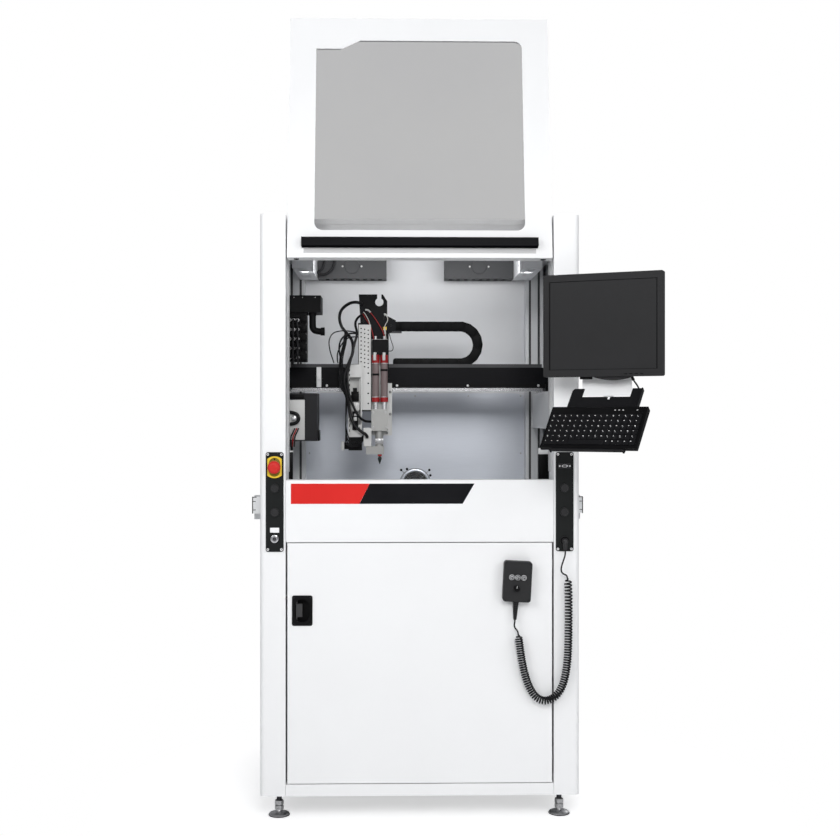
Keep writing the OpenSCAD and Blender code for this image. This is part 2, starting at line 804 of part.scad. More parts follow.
// Hinge arms on the right column, each with a pin through the door's blocks
module service_hinges() placed() color(steel) for (z = hinge_zs) {
    translate([0, 0, z]) linear_extrude(height = 4) {
        translate([hinge_x, hinge_y]) circle(r = 5);
        translate([hinge_x - 5, hinge_y]) square([10, 42]);
        translate([hinge_x - 5, 38]) square([column_in - hinge_x + 5, 12]);
    }
    translate([hinge_x, hinge_y, z - 20]) cylinder(r = hinge_pin_r, h = 44);
    translate([column_in - 3, 38, z - 20]) cube([3, 12, 44]);
}

// Service door: a folded pan with hinge blocks behind its right edge
module service_door() placed() color(white) difference() {
    union() {
        difference() {
            translate([-door_half, 0, door_z0])
                cube([2 * door_half, door_t, door_z1 - door_z0]);
            translate([sheet_t - door_half, sheet_t, door_z0 + sheet_t])
                cube([2 * (door_half - sheet_t), door_t, door_z1 - door_z0 - 2 * sheet_t]);
        }
        for (z = hinge_zs) translate([hinge_x - 7, sheet_t - 0.5, z - 22])
            cube([door_half - hinge_x + 6, 12.5, 48]);
        // Stiffening channels behind the skin
        for (x = [-150, 150]) translate([x - 20, sheet_t - 0.5, door_z0 + 1])
            cube([40, 14, door_z1 - door_z0 - 2]);
    }
    for (z = hinge_zs) {
        translate([hinge_x - 20, sheet_t, z - 1.5]) cube([door_half - hinge_x + 21, door_t, 7]);
        translate([hinge_x, hinge_y, z - 23]) cylinder(r = hinge_pin_r + pin_gap, h = 50);
    }
    for (x = [-150, 150]) translate([x - 18, sheet_t, door_z0 + 3])
        cube([36, 10, door_z1 - door_z0 - 6]);
    // Cut-out for the latch cup, and a slot for its tongue
    translate([latch_x - 27, -1, latch_z - 38]) cube([54, sheet_t + 2, 76]);
    translate([-door_half - 1, sheet_t + 0.5, latch_z + 36]) cube([sheet_t + 2, door_t, 12]);
}

// Latch cup: a flange on the door and an oval bowl behind it
module latch_cup() placed() color(black) translate([latch_x, 0, latch_z]) difference() {
    union() {
        depth(-3, 3) round_plate(63, 93, 6);
        depth(-0.5, 24.5) slot([0, -13], [0, 13], 25);
    }
    depth(-4, 26) slot([0, -13], [0, 13], 22.5);
    // Bearing for the paddle's shaft through the bowl's ends
    translate([latch_shaft_x, latch_shaft_y, -41])
        cylinder(r = latch_shaft_r + pin_gap, h = 86);
}

// Paddle on a vertical shaft, with the tongue that points at the left column
module latch_paddle() placed() color(dark)
    translate([latch_x + latch_shaft_x, latch_shaft_y, latch_z]) {
        reach = latch_reach + latch_x + latch_shaft_x;
        translate([0, 0, -40]) cylinder(r = latch_shaft_r, h = 84);
        translate([0, 0, 38]) linear_extrude(height = 5) {
            circle(r = latch_shaft_r + 0.9);
            translate([-reach, -1.5]) square([reach, 4]);
        }
        translate([-1, -4, -20]) cube([19, 4, 40]);
    }

// Hand pendant, held on the door by two magnets
module pendant_at() {
    translate([pendant_x, pendant_y, pendant_z]) rotate([0, pendant_lean, 0]) children();
}

module pendant_case() placed() color(black) pendant_at() difference() {
    union() {
        depth(-pendant_t, pendant_t) round_plate(pendant_w, pendant_h, 9);
        for (z = [-35, 35]) turned(0, -1, z) cylinder(r = 11, h = 5);
        translate([relief_x, -pendant_t / 2, -pendant_h / 2 - relief_l])
            cylinder(r1 = 5, r2 = 9, h = relief_l + 1);
    }
    for (i = [-1:1]) turned(switch_pitch * i, -pendant_t - 1, 13)
        cylinder(r = switch_r + pin_gap, h = 9);
    turned(-2, -pendant_t - 1, -20) cylinder(r = 3 + pin_gap, h = 9);
}

module pendant_switch(i) placed() color(steel) pendant_at()
    turned(switch_pitch * i, -pendant_t - 4, 13) {
        cylinder(r = switch_r, h = 9);
    }

module pendant_switch_1() pendant_switch(-1);
module pendant_switch_2() pendant_switch(0);
module pendant_switch_3() pendant_switch(1);

module pendant_knob() placed() color(dark) pendant_at() turned(-2, -pendant_t, -20) {
    translate([0, 0, -14]) difference() {
        cylinder(r = knob_r, h = 13.7);
        for (i = [0:11]) rotate(i * 30) translate([knob_r + 0.6, 0, -1]) cylinder(r = 1.2, h = 12);
    }
    translate([0, 0, -1]) cylinder(r = 3, h = 8);
}

module cord_leads() placed() color(black) {
    tube(smooth(top_lead, 2), lead_d / 2, 8);
    tube(smooth(bottom_lead, 2), lead_d / 2, 8);
}

module curly_cord() placed() color(black) tube(smooth(curl_route, 2), curl_d / 2, 12);

// Side beams between the posts, each with a guide rail on top
module y_rails() placed() color(pale) both_sides() {
    y0 = post_y + post_d;
    l = chamber_post_y - y0;
    translate([0, y0 + l, 0]) rotate([90, 0, 0]) linear_extrude(height = l) difference() {
        translate([side_beam_x, side_rail_z - side_beam_h]) square([side_beam_w, side_beam_h]);
        translate([side_beam_x + 4, side_rail_z - side_beam_h + 4])
            square([side_beam_w - 8, side_beam_h - 8]);
    }
    translate([0, y0 + l, 0]) rotate([90, 0, 0]) linear_extrude(height = l)
        translate([side_beam_x + side_beam_w / 2, side_rail_z]) polygon([
            [-rail_w / 2, 0], [rail_w / 2, 0], [rail_w / 2, 5], [rail_w / 2 - 2, 7],
            [rail_w / 2, 10], [rail_w / 2, rail_h], [-rail_w / 2, rail_h],
            [-rail_w / 2, 10], [2 - rail_w / 2, 7], [-rail_w / 2, 5]
        ]);
}

// Cross beam with its end carriages, and a rail above and below it
module x_beam() placed() color(black) {
    mid_y = beam_y + beam_d / 2;
    difference() {
        translate([-beam_half, beam_y, beam_z]) cube([2 * beam_half, beam_d, beam_h]);
        translate([-beam_half - 1, beam_y + 6, beam_z + 6])
            cube([2 * beam_half + 2, beam_d - 12, beam_h - 12]);
    }
    both_sides() {
        difference() {
            translate([side_beam_x + (side_beam_w - carriage_w) / 2, mid_y - carriage_l / 2,
                side_rail_z + 4]) cube([carriage_w, carriage_l, carriage_h]);
            translate([side_beam_x + (side_beam_w - rail_w) / 2 - face_gap,
                mid_y - carriage_l / 2 - 1, side_rail_z - 1])
                cube([rail_w + 2 * face_gap, carriage_l + 2, rail_h + 1 + face_gap]);
        }
        translate([beam_half, beam_y, side_rail_z + 4 + carriage_h])
            cube([side_beam_w - 7, beam_d, beam_z + beam_h - side_rail_z - 4 - carriage_h]);
    }
    for (z = [beam_z - x_rail_h, beam_z + beam_h])
        translate([12 - beam_half, x_rail_y, z]) cube([2 * beam_half - 24, x_rail_w, x_rail_h]);
}

// The head is drawn from its middle, its carriage plate's front face and the beam's lower face
module on_head() {
    translate([head_x, head_face_y, beam_z]) children();
}

// Head carriage: bearing blocks round the two rails, a face plate and the chain's arm
module x_carriage() placed() color(black) on_head() {
    x0 = -head_plate_w / 2;
    top = beam_h + head_plate_rise;
    rail_front = x_rail_y - head_face_y - face_gap;
    for (z = [-x_rail_h, beam_h]) difference() {
        translate([x0, head_plate_t - 1, z > 0 ? z + face_gap : z - 5])
            cube([head_plate_w, rail_front + x_rail_w + 5 - head_plate_t, x_rail_h + 5 - face_gap]);
        translate([x0 - 1, rail_front, z - face_gap])
            cube([head_plate_w + 2, x_rail_w + 2 * face_gap, x_rail_h + 2 * face_gap]);
    }
    translate([x0, 0, -head_plate_drop])
        cube([head_plate_w, head_plate_t, top + head_plate_drop]);
    // Upper bracket with its open keyhole, and the arm that the chain is fixed to
    depth(0, 8) difference() {
        polygon([
            [x0 + 8, top], [x0 + 2, top + 97], [32, top + 97], [47, top + 74], [47, top + 24],
            [76, top + 9], [76, top - 24], [52, top - 36], [52, top - 56], [x0 + 8, top - 56]
        ]);
        translate([20, top + 71]) circle(r = 14);
        translate([13, top + 71]) square([14, 40]);
    }
    translate([40, 0, chain_z1 - chain_h - 5 - beam_z])
        cube([56, chain_y + chain_w - head_face_y, 5]);
}

// White actuator channel with its motor below, and the drilled cable plate beside it
module z_housing() placed() on_head() {
    channel = [46, 46, 244];
    x0 = -84;
    z0 = -167;
    plate_z0 = -76;
    color(white) difference() {
        translate([x0, -channel[1], z0]) cube(channel);
        translate([x0 + 4, -channel[1] - 1, z0 + 41]) cube([channel[0] - 8, 40, 160]);
        for (z = [z0 + 11, z0 + 30], x = [x0 + 8, x0 + 38])
            translate([x, -channel[1] - 1, z]) rotate([-90, 0, 0]) cylinder(r = 2.6, h = 10);
    }
    color(black) translate([x0 + 1, -45, z0 - 45]) {
        cube([45, 45, 45]);
        translate([-14, 10, 4]) cube([14, 26, 22]);
    }
    color(white) difference() {
        union() {
            translate([-49, -30, plate_z0]) cube([41, 3, 288]);
            translate([-49, -30, plate_z0]) cube([3, 30, 288]);
        }
        for (row = [0:9], col = [0:2])
            translate([-41 + 12 * col, -31, plate_z0 + 275 - 14 * row - 3 * col])
                rotate([-90, 0, 0]) cylinder(r = 2.4, h = 5);
        for (z = [22:34:124], x = [-40, -17])
            translate([x, -31, plate_z0 + z]) rotate([-90, 0, 0]) cylinder(r = 2.8, h = 5);
    }
}

// Cable chain: links along two runs and a half circle
module cable_chain() placed() color(black) {
    r = (chain_bend - chain_h) / 2;
    mid_z = chain_z0 + chain_bend / 2;
    runs = floor((chain_bend_x - chain_end_x) / chain_link);
    bend_at = chain_end_x + chain_link * runs;
    turns = 9;
    for (i = [0:runs - 1], z = [chain_z0, chain_z1 - chain_h])
        translate([chain_end_x + chain_link * i, chain_y, z]) {
            cube([chain_link - 1.5, chain_w, chain_h]);
            translate([chain_link - 3, 5, 5]) cube([5, chain_w - 10, chain_h - 10]);
        }
    for (i = [0:turns - 1])
        translate([bend_at, chain_y, mid_z]) rotate([0, -90 + 180 * (i + 0.5) / turns, 0])
            translate([r, chain_w / 2, 0])
                cube([chain_h, chain_w, chain_link - 2], center = true);
    translate([bend_at, chain_y + chain_w - 5, mid_z]) rotate([90, 0, 0])
        linear_extrude(height = chain_w - 10) difference() {
            intersection() {
                circle(r = r + chain_h / 2 - 5);
                translate([0, -100]) square([100, 200]);
            }
            circle(r = r - chain_h / 2 + 5);
        }
}

// Slide plate that the valve hangs on, running on a rail on the carriage
module valve_plate() placed() color(white) on_head() {
    translate([-6, valve_y, -162]) cube([54, 6, 326]);
    translate([47, valve_y, -162]) cube([16, 6, 177]);
    translate([12, valve_y + 6, -66]) cube([32, -valve_y - 6 - face_gap, 90]);
}

// Two clear cylinders between red collars, with the black bracket above
module fluid_cylinders() placed() on_head() {
    cy = valve_y - 15;
    z0 = -valve_drop;
    color(black) translate([-4, cy - 14, z0 + 183]) cube([54, 29, 51]);
    for (x = [8, 37]) translate([x, cy, z0]) {
        color(steel) cylinder(r = 8, h = 24);
        color(red) translate([0, 0, 24]) cylinder(r = 13.5, h = 16);
        color([0.9, 0.8, 0.8]) translate([0, 0, 40]) cylinder(r = 12, h = 115);
        color(red) translate([0, 0, 155]) cylinder(r = 13.5, h = 28);
    }
}

// Valve: block, solenoid, lower body, nozzle block and needle
module spray_valve() placed() on_head() translate([0, valve_y, -valve_drop]) {
    needle = [22, -24];
    color(steel) {
        translate([-6, -44, -73]) cube([54, 44, 73]);
        translate([20, needle[1], -125]) cylinder(r = 13, h = 52);
        translate([-24, -38, -152]) cube([60, 34, 27]);
        translate([needle[0], needle[1], -181]) cylinder(r1 = 1.2, r2 = 4, h = 30);
    }
    color(white) translate([-32, -42, -125]) cube([26, 30, 62]);
    color(red) translate([needle[0], needle[1], -158]) cylinder(r = 7, h = 6);
}

// Air and fluid hoses that loop from the carriage bracket to the valve
module head_hoses() placed() color(black) on_head() {
    tube(smooth([
        [-40, -1.4, 284], [-42, -12, 285], [-62, -22, 289], [-86, -30, 285],
        [-108, -34, 266], [-116, -40, 240], [-106, -46, 210], [-86, -50, 190],
        [-75, -56, 164], [-80, -58, 124], [-95, -60, 74], [-100, -62, 14], [-92, -62, -46],
        [-76, -62, -96], [-60, -68, -128], [-40, -76, -148], [-24, -75, -158],
        [-20, -66, -166], [-20, -56.8, -166]
    ], 2), 5, 10);
    tube(smooth([
        [-40, -1.2, 246], [-42, -12, 245], [-54, -32, 232], [-60, -50, 212],
        [-54, -64, 180], [-62, -72, 144], [-84, -76, 94], [-90, -78, 34], [-80, -78, -26],
        [-60, -76, -76], [-44, -70, -101], [-30, -58, -112], [-16, -47, -115],
        [-7.2, -44, -115]
    ], 2), 4, 8);
}

// Valve bank and regulator box on the chamber's left side
module wall_equipment() placed() {
    x0 = -skin_in;
    color(black) translate([0, 280, 0]) {
        difference() {
            union() {
                translate([x0, 0, 1562]) cube([-322 - x0, 120, 56]);
                translate([x0, 10, 1402]) cube([-372 - x0, 100, 160]);
                for (i = [0:4]) translate([-384, 2, 1404 + 31 * i]) cube([16, 40, 22]);
            }
            for (z = [1420:40:1540]) translate([-420, -1, z]) cube([30, 16, 14]);
        }
        for (i = [0:3], j = [0:1]) translate([-432 + 22 * j, -6, 1412 + 40 * i])
            rotate([-90, 0, 0]) cylinder(r = 5, h = 18);
    }
    color(dark) translate([-side_beam_x, 330, 1136]) difference() {
        cube([100, 110, side_rail_z - 1136 - 6]);
        translate([6, -1, 8]) cube([46, 8, 130]);
    }
}

// Rail extrusion with a belt round its two end rollers; fit is the play on the cross bars
module conveyor_rail(fit) {
    difference() {
        translate([-conveyor_half, 0, conveyor_z - conveyor_h])
            cube([conveyor_l, conveyor_t, conveyor_h]);
        // Channel that the belt runs in
        translate([-conveyor_half - 1, 12, conveyor_z - 36]) cube([conveyor_l + 2, 14, 32]);
        translate([-conveyor_half - 1, -1, conveyor_z - 30]) cube([conveyor_l + 2, 5, 14]);
        for (x = [-bar_x, bar_x]) translate([x, -1, bar_z]) rotate([-90, 0, 0])
            cylinder(r = bar_r + fit, h = conveyor_t + 2);
        translate([shaft_x, -1, shaft_z]) rotate([-90, 0, 0])
            cylinder(r = shaft_r + pin_gap, h = conveyor_t + 2);
    }
    // Belt and its end rollers
    translate([0, conveyor_t + 3, 0]) rotate([90, 0, 0]) linear_extrude(height = belt_w) difference() {
        slot([belt_r + 6 - conveyor_half, conveyor_z - 20],
            [conveyor_half - belt_r - 6, conveyor_z - 20], belt_r);
        difference() {
            slot([belt_r + 6 - conveyor_half, conveyor_z - 20],
                [conveyor_half - belt_r - 6, conveyor_z - 20], belt_r - 2);
            for (s = [-1, 1]) translate([s * (conveyor_half - belt_r - 6), conveyor_z - 20])
                circle(r = belt_r - 1);
        }
    }
}

// Front rail with the cross bars and their end blocks
module conveyor_front() placed() color(steel) {
    translate([0, conveyor_y, 0]) conveyor_rail(0);
    for (x = [-bar_x, bar_x]) {
        translate([x, bar_y0, bar_z]) rotate([-90, 0, 0])
            cylinder(r = bar_r, h = bar_y1 - bar_y0);
        for (y = [bar_y0 - 24, bar_y1]) translate([x - 20, y, deck_z + 3])
            cube([40, 24, bar_z + 20 - deck_z - 3]);
    }
    for (y = [bar_y0 - 24, bar_y1]) difference() {
        translate([shaft_x - 16, y, deck_z + 3]) cube([32, 24, shaft_z + 16 - deck_z - 3]);
        translate([shaft_x, y - 1, shaft_z]) rotate([-90, 0, 0])
            cylinder(r = shaft_r + pin_gap, h = 26);
    }
}

// Rear rail, which slides on the cross bars to set the board width
module conveyor_rear() placed() color(steel)
    translate([0, 2 * conveyor_y + conveyor_gap + 2 * conveyor_t, 0]) mirror([0, 1, 0])
        translate([0, conveyor_y, 0]) conveyor_rail(pin_gap);

module conveyor_shaft() placed() color(steel) translate([shaft_x, 0, shaft_z]) {
    translate([0, bar_y0 - 20, 0]) rotate([-90, 0, 0])
        cylinder(r = shaft_r, h = bar_y1 - bar_y0 + 40);
    translate([0, bar_y0 + 4, 0]) rotate([-90, 0, 0]) cylinder(r = 16, h = 14);
}

// Rear mounting plate of the cabinet with the drives, power supply and cable ducts
module equipment_panel() placed() color(dark) {
    y = rear_y - 3;
    z0 = frame_z0 + post_d + 4;
    l = deck_z - post_d + 10 - z0;
    // Three ducts at one pitch, with the drives above the lowest and relays above the next
    pitch = (l - 184) / 2;
    row = [for (i = [0:2]) z0 + 64 + i * pitch];
    translate([-390, y, z0]) cube([780, 3, l]);
    for (z = row) translate([-370, y - 30, z]) cube([740, 30, 40]);
    for (i = [0:4]) translate([-350 + 78 * i, y - 120, row[0] + 70]) cube([60, 120, pitch - 100]);
    translate([90, y - 90, row[0] + 70]) cube([110, 90, pitch - 100]);
    for (i = [0:13]) translate([-350 + 40 * i, y - 60, row[1] + 90]) cube([32, 60, pitch - 160]);
    translate([240, y - 140, row[1] + 70]) cube([120, 140, pitch - 90]);
}

// Two pressure tanks for the coating, and the control computer beside them
module fluid_tanks() placed() {
    z0 = frame_z0 + post_d + sheet_t;
    color(steel) for (x = [-230, 10]) translate([x, 420, z0]) {
        rotate_extrude($fn = 64) polygon(concat(
            [[0, 0], [92, 0], [100, 8], [100, 250], [108, 250], [108, 262], [100, 262]],
            [for (t = [0:15:90]) [100 * cos(t), 262 + 46 * sin(t)]]));
        translate([0, 0, 306]) cylinder(r = 14, h = 40);
        translate([44, 0, 296]) cylinder(r = 7, h = 46);
        for (a = [0:60:300]) rotate(a) translate([112, 0, 244]) cylinder(r = 7, h = 34);
    }
    color(pale) translate([190, 300, z0]) difference() {
        cube([190, 420, 400]);
        for (i = [0:9]) translate([20, -1, 40 + 16 * i]) cube([150, 6, 8]);
    }
}

// Bracket on the right column with two ears and the arm's pin
module arm_bracket() placed() color(dark) {
    translate([arm_x - 28, -6, arm_z - 60]) cube([56, 6, 120]);
    for (z = [arm_z - arm_h / 2 - 9 - face_gap, arm_z + arm_h / 2 + face_gap])
        translate([0, 0, z]) linear_extrude(height = 9) {
            translate([arm_x - 16, arm_y]) square([32, -arm_y - 3]);
            translate([arm_x, arm_y]) circle(r = 16);
        }
    translate([arm_x, arm_y, arm_z - arm_h / 2 - 9]) cylinder(r = arm_pin_r, h = arm_h + 18);
}

module swing_arm() placed() color(dark) difference() {
    l = norm([mast_x - arm_x, mast_y - arm_y]);
    translate([arm_x, arm_y, arm_z - arm_h / 2]) rotate(atan2(mast_y - arm_y, mast_x - arm_x)) {
        cylinder(r = 14, h = arm_h);
        translate([0, -9, 3]) cube([l, 18, arm_h - 6]);
        translate([l, 0, 0]) cylinder(r = mast_r + 6, h = arm_h);
    }
    translate([arm_x, arm_y, 0]) cylinder(r = arm_pin_r + pin_gap, h = 2000);
    translate([mast_x, mast_y, 0]) cylinder(r = mast_r + pin_gap, h = 2000);
}

// Everything on the mast is drawn facing forwards, then turned to the operator
module on_mast() {
    translate([mast_x, mast_y, 0]) rotate([0, 0, -screen_yaw]) children();
}

module mast() on_mast() {
    z0 = tray_z - 12;
    translate([0, 0, z0]) cylinder(r = mast_r, h = screen_z + 60 - z0);
    for (z = [arm_z - arm_h / 2 - 10 - face_gap, arm_z + arm_h / 2 + face_gap])
        translate([0, 0, z]) cylinder(r = mast_r + 5, h = 10);
    // Tilt head behind the screen
    translate([-15, tilt_y, screen_z - 16]) cube([30, -tilt_y, 32]);
    translate([-40, tilt_y, screen_z]) rotate([0, 90, 0]) cylinder(r = 5, h = 80);
    // Cross plate above the keyboard
    translate([-75, -mast_r - 4, tray_z + 44]) cube([150, 5, 60]);
}

// Arm from the mast to the keyboard tray, with the tray's hinge ears and pin
module tray_arm() {
    translate([mast_x, mast_y, tray_z - 5]) rotate(atan2(tray_y - mast_y, tray_x - mast_x))
        difference() {
            translate([0, -14, 0])
                cube([norm([mast_x - tray_x, mast_y - tray_y]) - 22, 28, 10]);
            for (x = [50, 80]) translate([x, 0, -1]) cylinder(r = 8, h = 12);
        }
    on_tray_post() {
        translate([-30, 17, -6]) cube([60, 8, 12]);
        for (x = [-15, 9]) translate([x, 0, -6]) cube([6, 18, 12]);
        translate([-60, 0, 0]) rotate([0, 90, 0]) cylinder(r = 5, h = 120);
    }
}

module screen_mast() placed() color(pale) {
    mast();
    tray_arm();
}

// Screen: bezel, bulged back and the block with its tilt bores
module screen_case() placed() color(black) on_mast() translate([0, 0, screen_z]) {
    difference() {
        union() {
            depth(-70, 18) round_plate(screen_w, screen_h, 6);
            depth(-52, 10) round_plate(screen_w - 60, screen_h - 50, 20);
            depth(-42, 6) round_plate(120, 120, 8);
            for (x = [-34, 20]) translate([x, -37, -20]) cube([14, 14, 40]);
            // Rounded chin under the lower bezel
            translate([30, -64, 160 - screen_h / 2]) rotate([-90, 0, 0]) intersection() {
                cylinder(r = 171, h = 10, $fn = 240);
                translate([-58, 155, 0]) cube([116, 20, 10]);
            }
        }
        depth(-71, 3) square([screen_w - 36, screen_h - 42], center = true);
        translate([-50, tilt_y, 0]) rotate([0, 90, 0]) cylinder(r = 5 + pin_gap, h = 100);
        translate([-20, -36, -30]) cube([40, 30, 60]);
    }
}

// The keyboard tray turns on a hinge at the end of its arm, and slopes down from it
module on_tray_post() {
    translate([tray_x, tray_y, tray_z]) rotate([0, 0, -keyboard_yaw]) children();
}

module on_tray() {
    on_tray_post() rotate([keyboard_slope, 0, 0]) children();
}

// The keyboard is drawn from the middle of its front edge, on the tray's plate
module on_tray_plate() {
    on_tray() translate([key_shift, -keyboard_d - key_back, tray_rise + tray_t]) children();
}

// Tray: a plate over two hinge knuckles, notched behind the keyboard between two longer tabs
module keyboard_tray() placed() color(black) on_tray() difference() {
    union() {
        translate([0, 0, tray_rise]) linear_extrude(height = tray_t) difference() {
            union() {
                translate([-tray_left, -keyboard_d - key_back])
                    square([tray_left + tray_right, keyboard_d + key_back + tray_back]);
                for (s = [-1, 1]) let (out = s < 0 ? tray_left : tray_right) polygon([
                    [s * out, 0], [s * out, tab_back - 8], [s * (out - 5), tab_back],
                    [s * (out - tab_w), tab_back], [s * (out - tab_w), 0]
                ]);
            }
            translate([-4, tray_back - 10]) square([8, 20]);
        }
        for (x = [-52, 34]) translate([x, -9, -8]) cube([18, 17, tray_rise + 9]);
        // Front lip that stops the keyboard
        translate([-tray_left, -keyboard_d - key_back - 3, tray_rise])
            cube([tray_left + tray_right, 3, 12]);
        // Bent-up edge of the right tab
        translate([tray_right - 3, -8, tray_rise]) cube([3, tab_back, 14]);
    }
    translate([-100, 0, 0]) rotate([0, 90, 0]) cylinder(r = 5 + pin_gap, h = 200);
}

module keyboard_case() placed() color(black) on_tray_plate() difference() {
    rotate([90, 0, 90]) translate([0, 0, -keyboard_w / 2]) linear_extrude(height = keyboard_w)
        polygon([[0, 0], [keyboard_d - 1, 0], [keyboard_d - 1, 18], [keyboard_d - 5, 20],
            [0, 12]]);
    translate([-keyboard_w / 2 + 8, 8, 8]) rotate([3, 0, 0])
        cube([keyboard_w - 16, keyboard_d - 38, 20]);
}

// Key field: rows of caps on one carrier
module keycaps() placed() color(dark) on_tray_plate()
    translate([-keyboard_w / 2 + 9, 9, 10.3]) rotate([3, 0, 0]) {
        w = keyboard_w - 18;
        d = keyboard_d - 40;
        key = d / 6;
        cube([w, d, 1.5]);
        for (row = [0:5], i = [0:14])
            if (row > 0 || i < 4 || i > 9)
                translate([w / 15 * i + 0.8, key * row + 0.8, 1])
                    cube([w / 15 - 1.6, key - 1.6, 4]);
        translate([w / 15 * 4 + 0.8, 0.8, 1]) cube([w / 15 * 6 - 1.6, key - 1.6, 4]);
    }

welded_frame();
chamber_posts();
column_cover_left();
column_cover_right();
side_panels();
rear_panel();
roof_panel();
base_pan();
front_panel();
chamber_deck();
chamber_wall();
air_ducts();
exhaust_collar();
fan_housing();
fan_rotor();
levelling_feet();
control_plates();
estop_collar();
estop_stem();
estop_head();
plate_fittings();
key_barrel();
door_guides();
door_shoes();
window_frame();
window_pane();
window_handle();
service_hinges();
service_door();
latch_cup();
latch_paddle();
pendant_case();
pendant_switch_1();
pendant_switch_2();
pendant_switch_3();
pendant_knob();
cord_leads();
curly_cord();
y_rails();
x_beam();
x_carriage();
z_housing();
cable_chain();
valve_plate();
fluid_cylinders();
spray_valve();
head_hoses();
wall_equipment();
conveyor_front();
conveyor_rear();
conveyor_shaft();
equipment_panel();
fluid_tanks();
arm_bracket();
swing_arm();
screen_mast();
screen_case();
keyboard_tray();
keyboard_case();
keycaps();
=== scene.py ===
"""Looks of a conformal coating machine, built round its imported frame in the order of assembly."""
import math

import bmesh
import bpy
import numpy as np
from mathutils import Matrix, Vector


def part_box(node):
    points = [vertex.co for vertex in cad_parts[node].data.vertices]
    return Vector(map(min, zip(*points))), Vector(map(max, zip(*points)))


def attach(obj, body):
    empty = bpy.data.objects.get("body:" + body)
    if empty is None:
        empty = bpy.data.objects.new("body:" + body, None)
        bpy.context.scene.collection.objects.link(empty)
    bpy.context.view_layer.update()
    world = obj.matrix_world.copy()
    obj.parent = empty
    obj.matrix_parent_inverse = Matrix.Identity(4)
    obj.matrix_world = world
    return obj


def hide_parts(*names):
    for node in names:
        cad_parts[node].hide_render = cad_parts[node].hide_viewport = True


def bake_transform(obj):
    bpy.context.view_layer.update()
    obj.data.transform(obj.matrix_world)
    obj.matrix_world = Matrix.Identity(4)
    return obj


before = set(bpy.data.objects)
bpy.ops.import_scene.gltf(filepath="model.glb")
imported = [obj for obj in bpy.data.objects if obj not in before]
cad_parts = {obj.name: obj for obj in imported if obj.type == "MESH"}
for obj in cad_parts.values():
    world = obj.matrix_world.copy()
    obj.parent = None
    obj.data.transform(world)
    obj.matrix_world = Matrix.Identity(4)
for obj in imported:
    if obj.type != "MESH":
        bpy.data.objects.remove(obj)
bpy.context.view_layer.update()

# Where the machine stands. Places are given as on a workshop drawing, in millimetres to the
# right of the machine's middle, behind its front plane and above a datum level, which lies
# 50 mm below the column covers. The feet are screwed out below it.
door_low, door_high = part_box("service_door")
datum = np.array([(door_low[0] + door_high[0]) / 2, door_low[1],
                  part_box("column_cover_left")[0][2] - 0.050])


def spot(x, y, z):
    """Metres in the shared frame from millimetres right of the middle, behind the front, up."""
    return datum + np.array([x, y, z], float) / 1000


def spots(points):
    """The same for a list of places."""
    return datum + np.array(points, float) / 1000


def box_mm(node):
    """The two corners of a frame node's box in millimetres on the drawing."""
    return [(np.array(corner) - datum) * 1000 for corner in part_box(node)]


# The photographer's place: level camera at chest height, a little to the left of the middle,
# aimed at the front plane. A lens of this length gives the photograph's width of 840 pixels.
camera_data = bpy.data.cameras.new("camera")
camera = bpy.data.objects.new("camera", camera_data)
bpy.context.collection.objects.link(camera)
focal_px, width_px = 1234, 840
camera_data.sensor_width = 36
camera_data.lens = camera_data.sensor_width * focal_px / width_px
eye_height = 1213
camera.location = spot(-80, -3800, eye_height)
aim = spot(0, 0, eye_height) - spot(-80, -3800, eye_height)
camera.rotation_euler = (math.pi / 2, 0, math.atan2(-aim[0], aim[1]))
bpy.context.scene.camera = camera

# The studio: a pale floor that keeps the shadow, a white surround seen by the camera, and
# four broad soft lamps, and a small one in the chamber. The white covers come out close to
# the white of the surround.
scene = bpy.context.scene
scene.view_settings.view_transform = "Standard"
world = bpy.data.worlds.new("studio")
scene.world = world
world.use_nodes = True
sky = world.node_tree.nodes
sky_links = world.node_tree.links
room = sky["Background"]
room.inputs["Color"].default_value = (0.93, 0.95, 1.0, 1)
room.inputs["Strength"].default_value = 0.26
white = sky.new("ShaderNodeBackground")
white.inputs["Color"].default_value = (1, 1, 1, 1)
path = sky.new("ShaderNodeLightPath")
seen = sky.new("ShaderNodeMath")
seen.operation = "MAXIMUM"
mix = sky.new("ShaderNodeMixShader")
sky_links.new(path.outputs["Is Camera Ray"], seen.inputs[0])
sky_links.new(path.outputs["Is Transmission Ray"], seen.inputs[1])
sky_links.new(seen.outputs[0], mix.inputs["Fac"])
sky_links.new(room.outputs[0], mix.inputs[1])
sky_links.new(white.outputs[0], mix.inputs[2])
sky_links.new(mix.outputs[0], sky["World Output"].inputs["Surface"])


def soft_lamp(name, place, target, size, watts, height=None):
    """Area lamp at a place, turned to face a target, square unless a height is given. It
    lights the machine, but isn't seen itself or through the pane."""
    data = bpy.data.lights.new(name, "AREA")
    data.size = size
    if height:
        data.shape = "RECTANGLE"
        data.size_y = height
    data.energy = watts
    lamp = bpy.data.objects.new(name, data)
    bpy.context.collection.objects.link(lamp)
    lamp.visible_camera = False
    lamp.visible_transmission = False
    lamp.location = spot(*place)
    way = Vector(spot(*target) - spot(*place))
    lamp.rotation_euler = way.to_track_quat("-Z", "Y").to_euler()


soft_lamp("key_lamp", (-2400, -3200, 3000), (0, 200, 700), 2.0, 58)
soft_lamp("fill_lamp", (2700, -3000, 2400), (0, 200, 600), 2.2, 38)
soft_lamp("front_lamp", (300, -4200, 2700), (0, 400, 1000), 1.3, 72)
soft_lamp("rear_lamp", (900, 4200, 3200), (0, 700, 1200), 3.0, 60)
soft_lamp("chamber_lamp", (0, 540, 1745), (0, 850, 1745), 0.8, 1.0, 0.06)

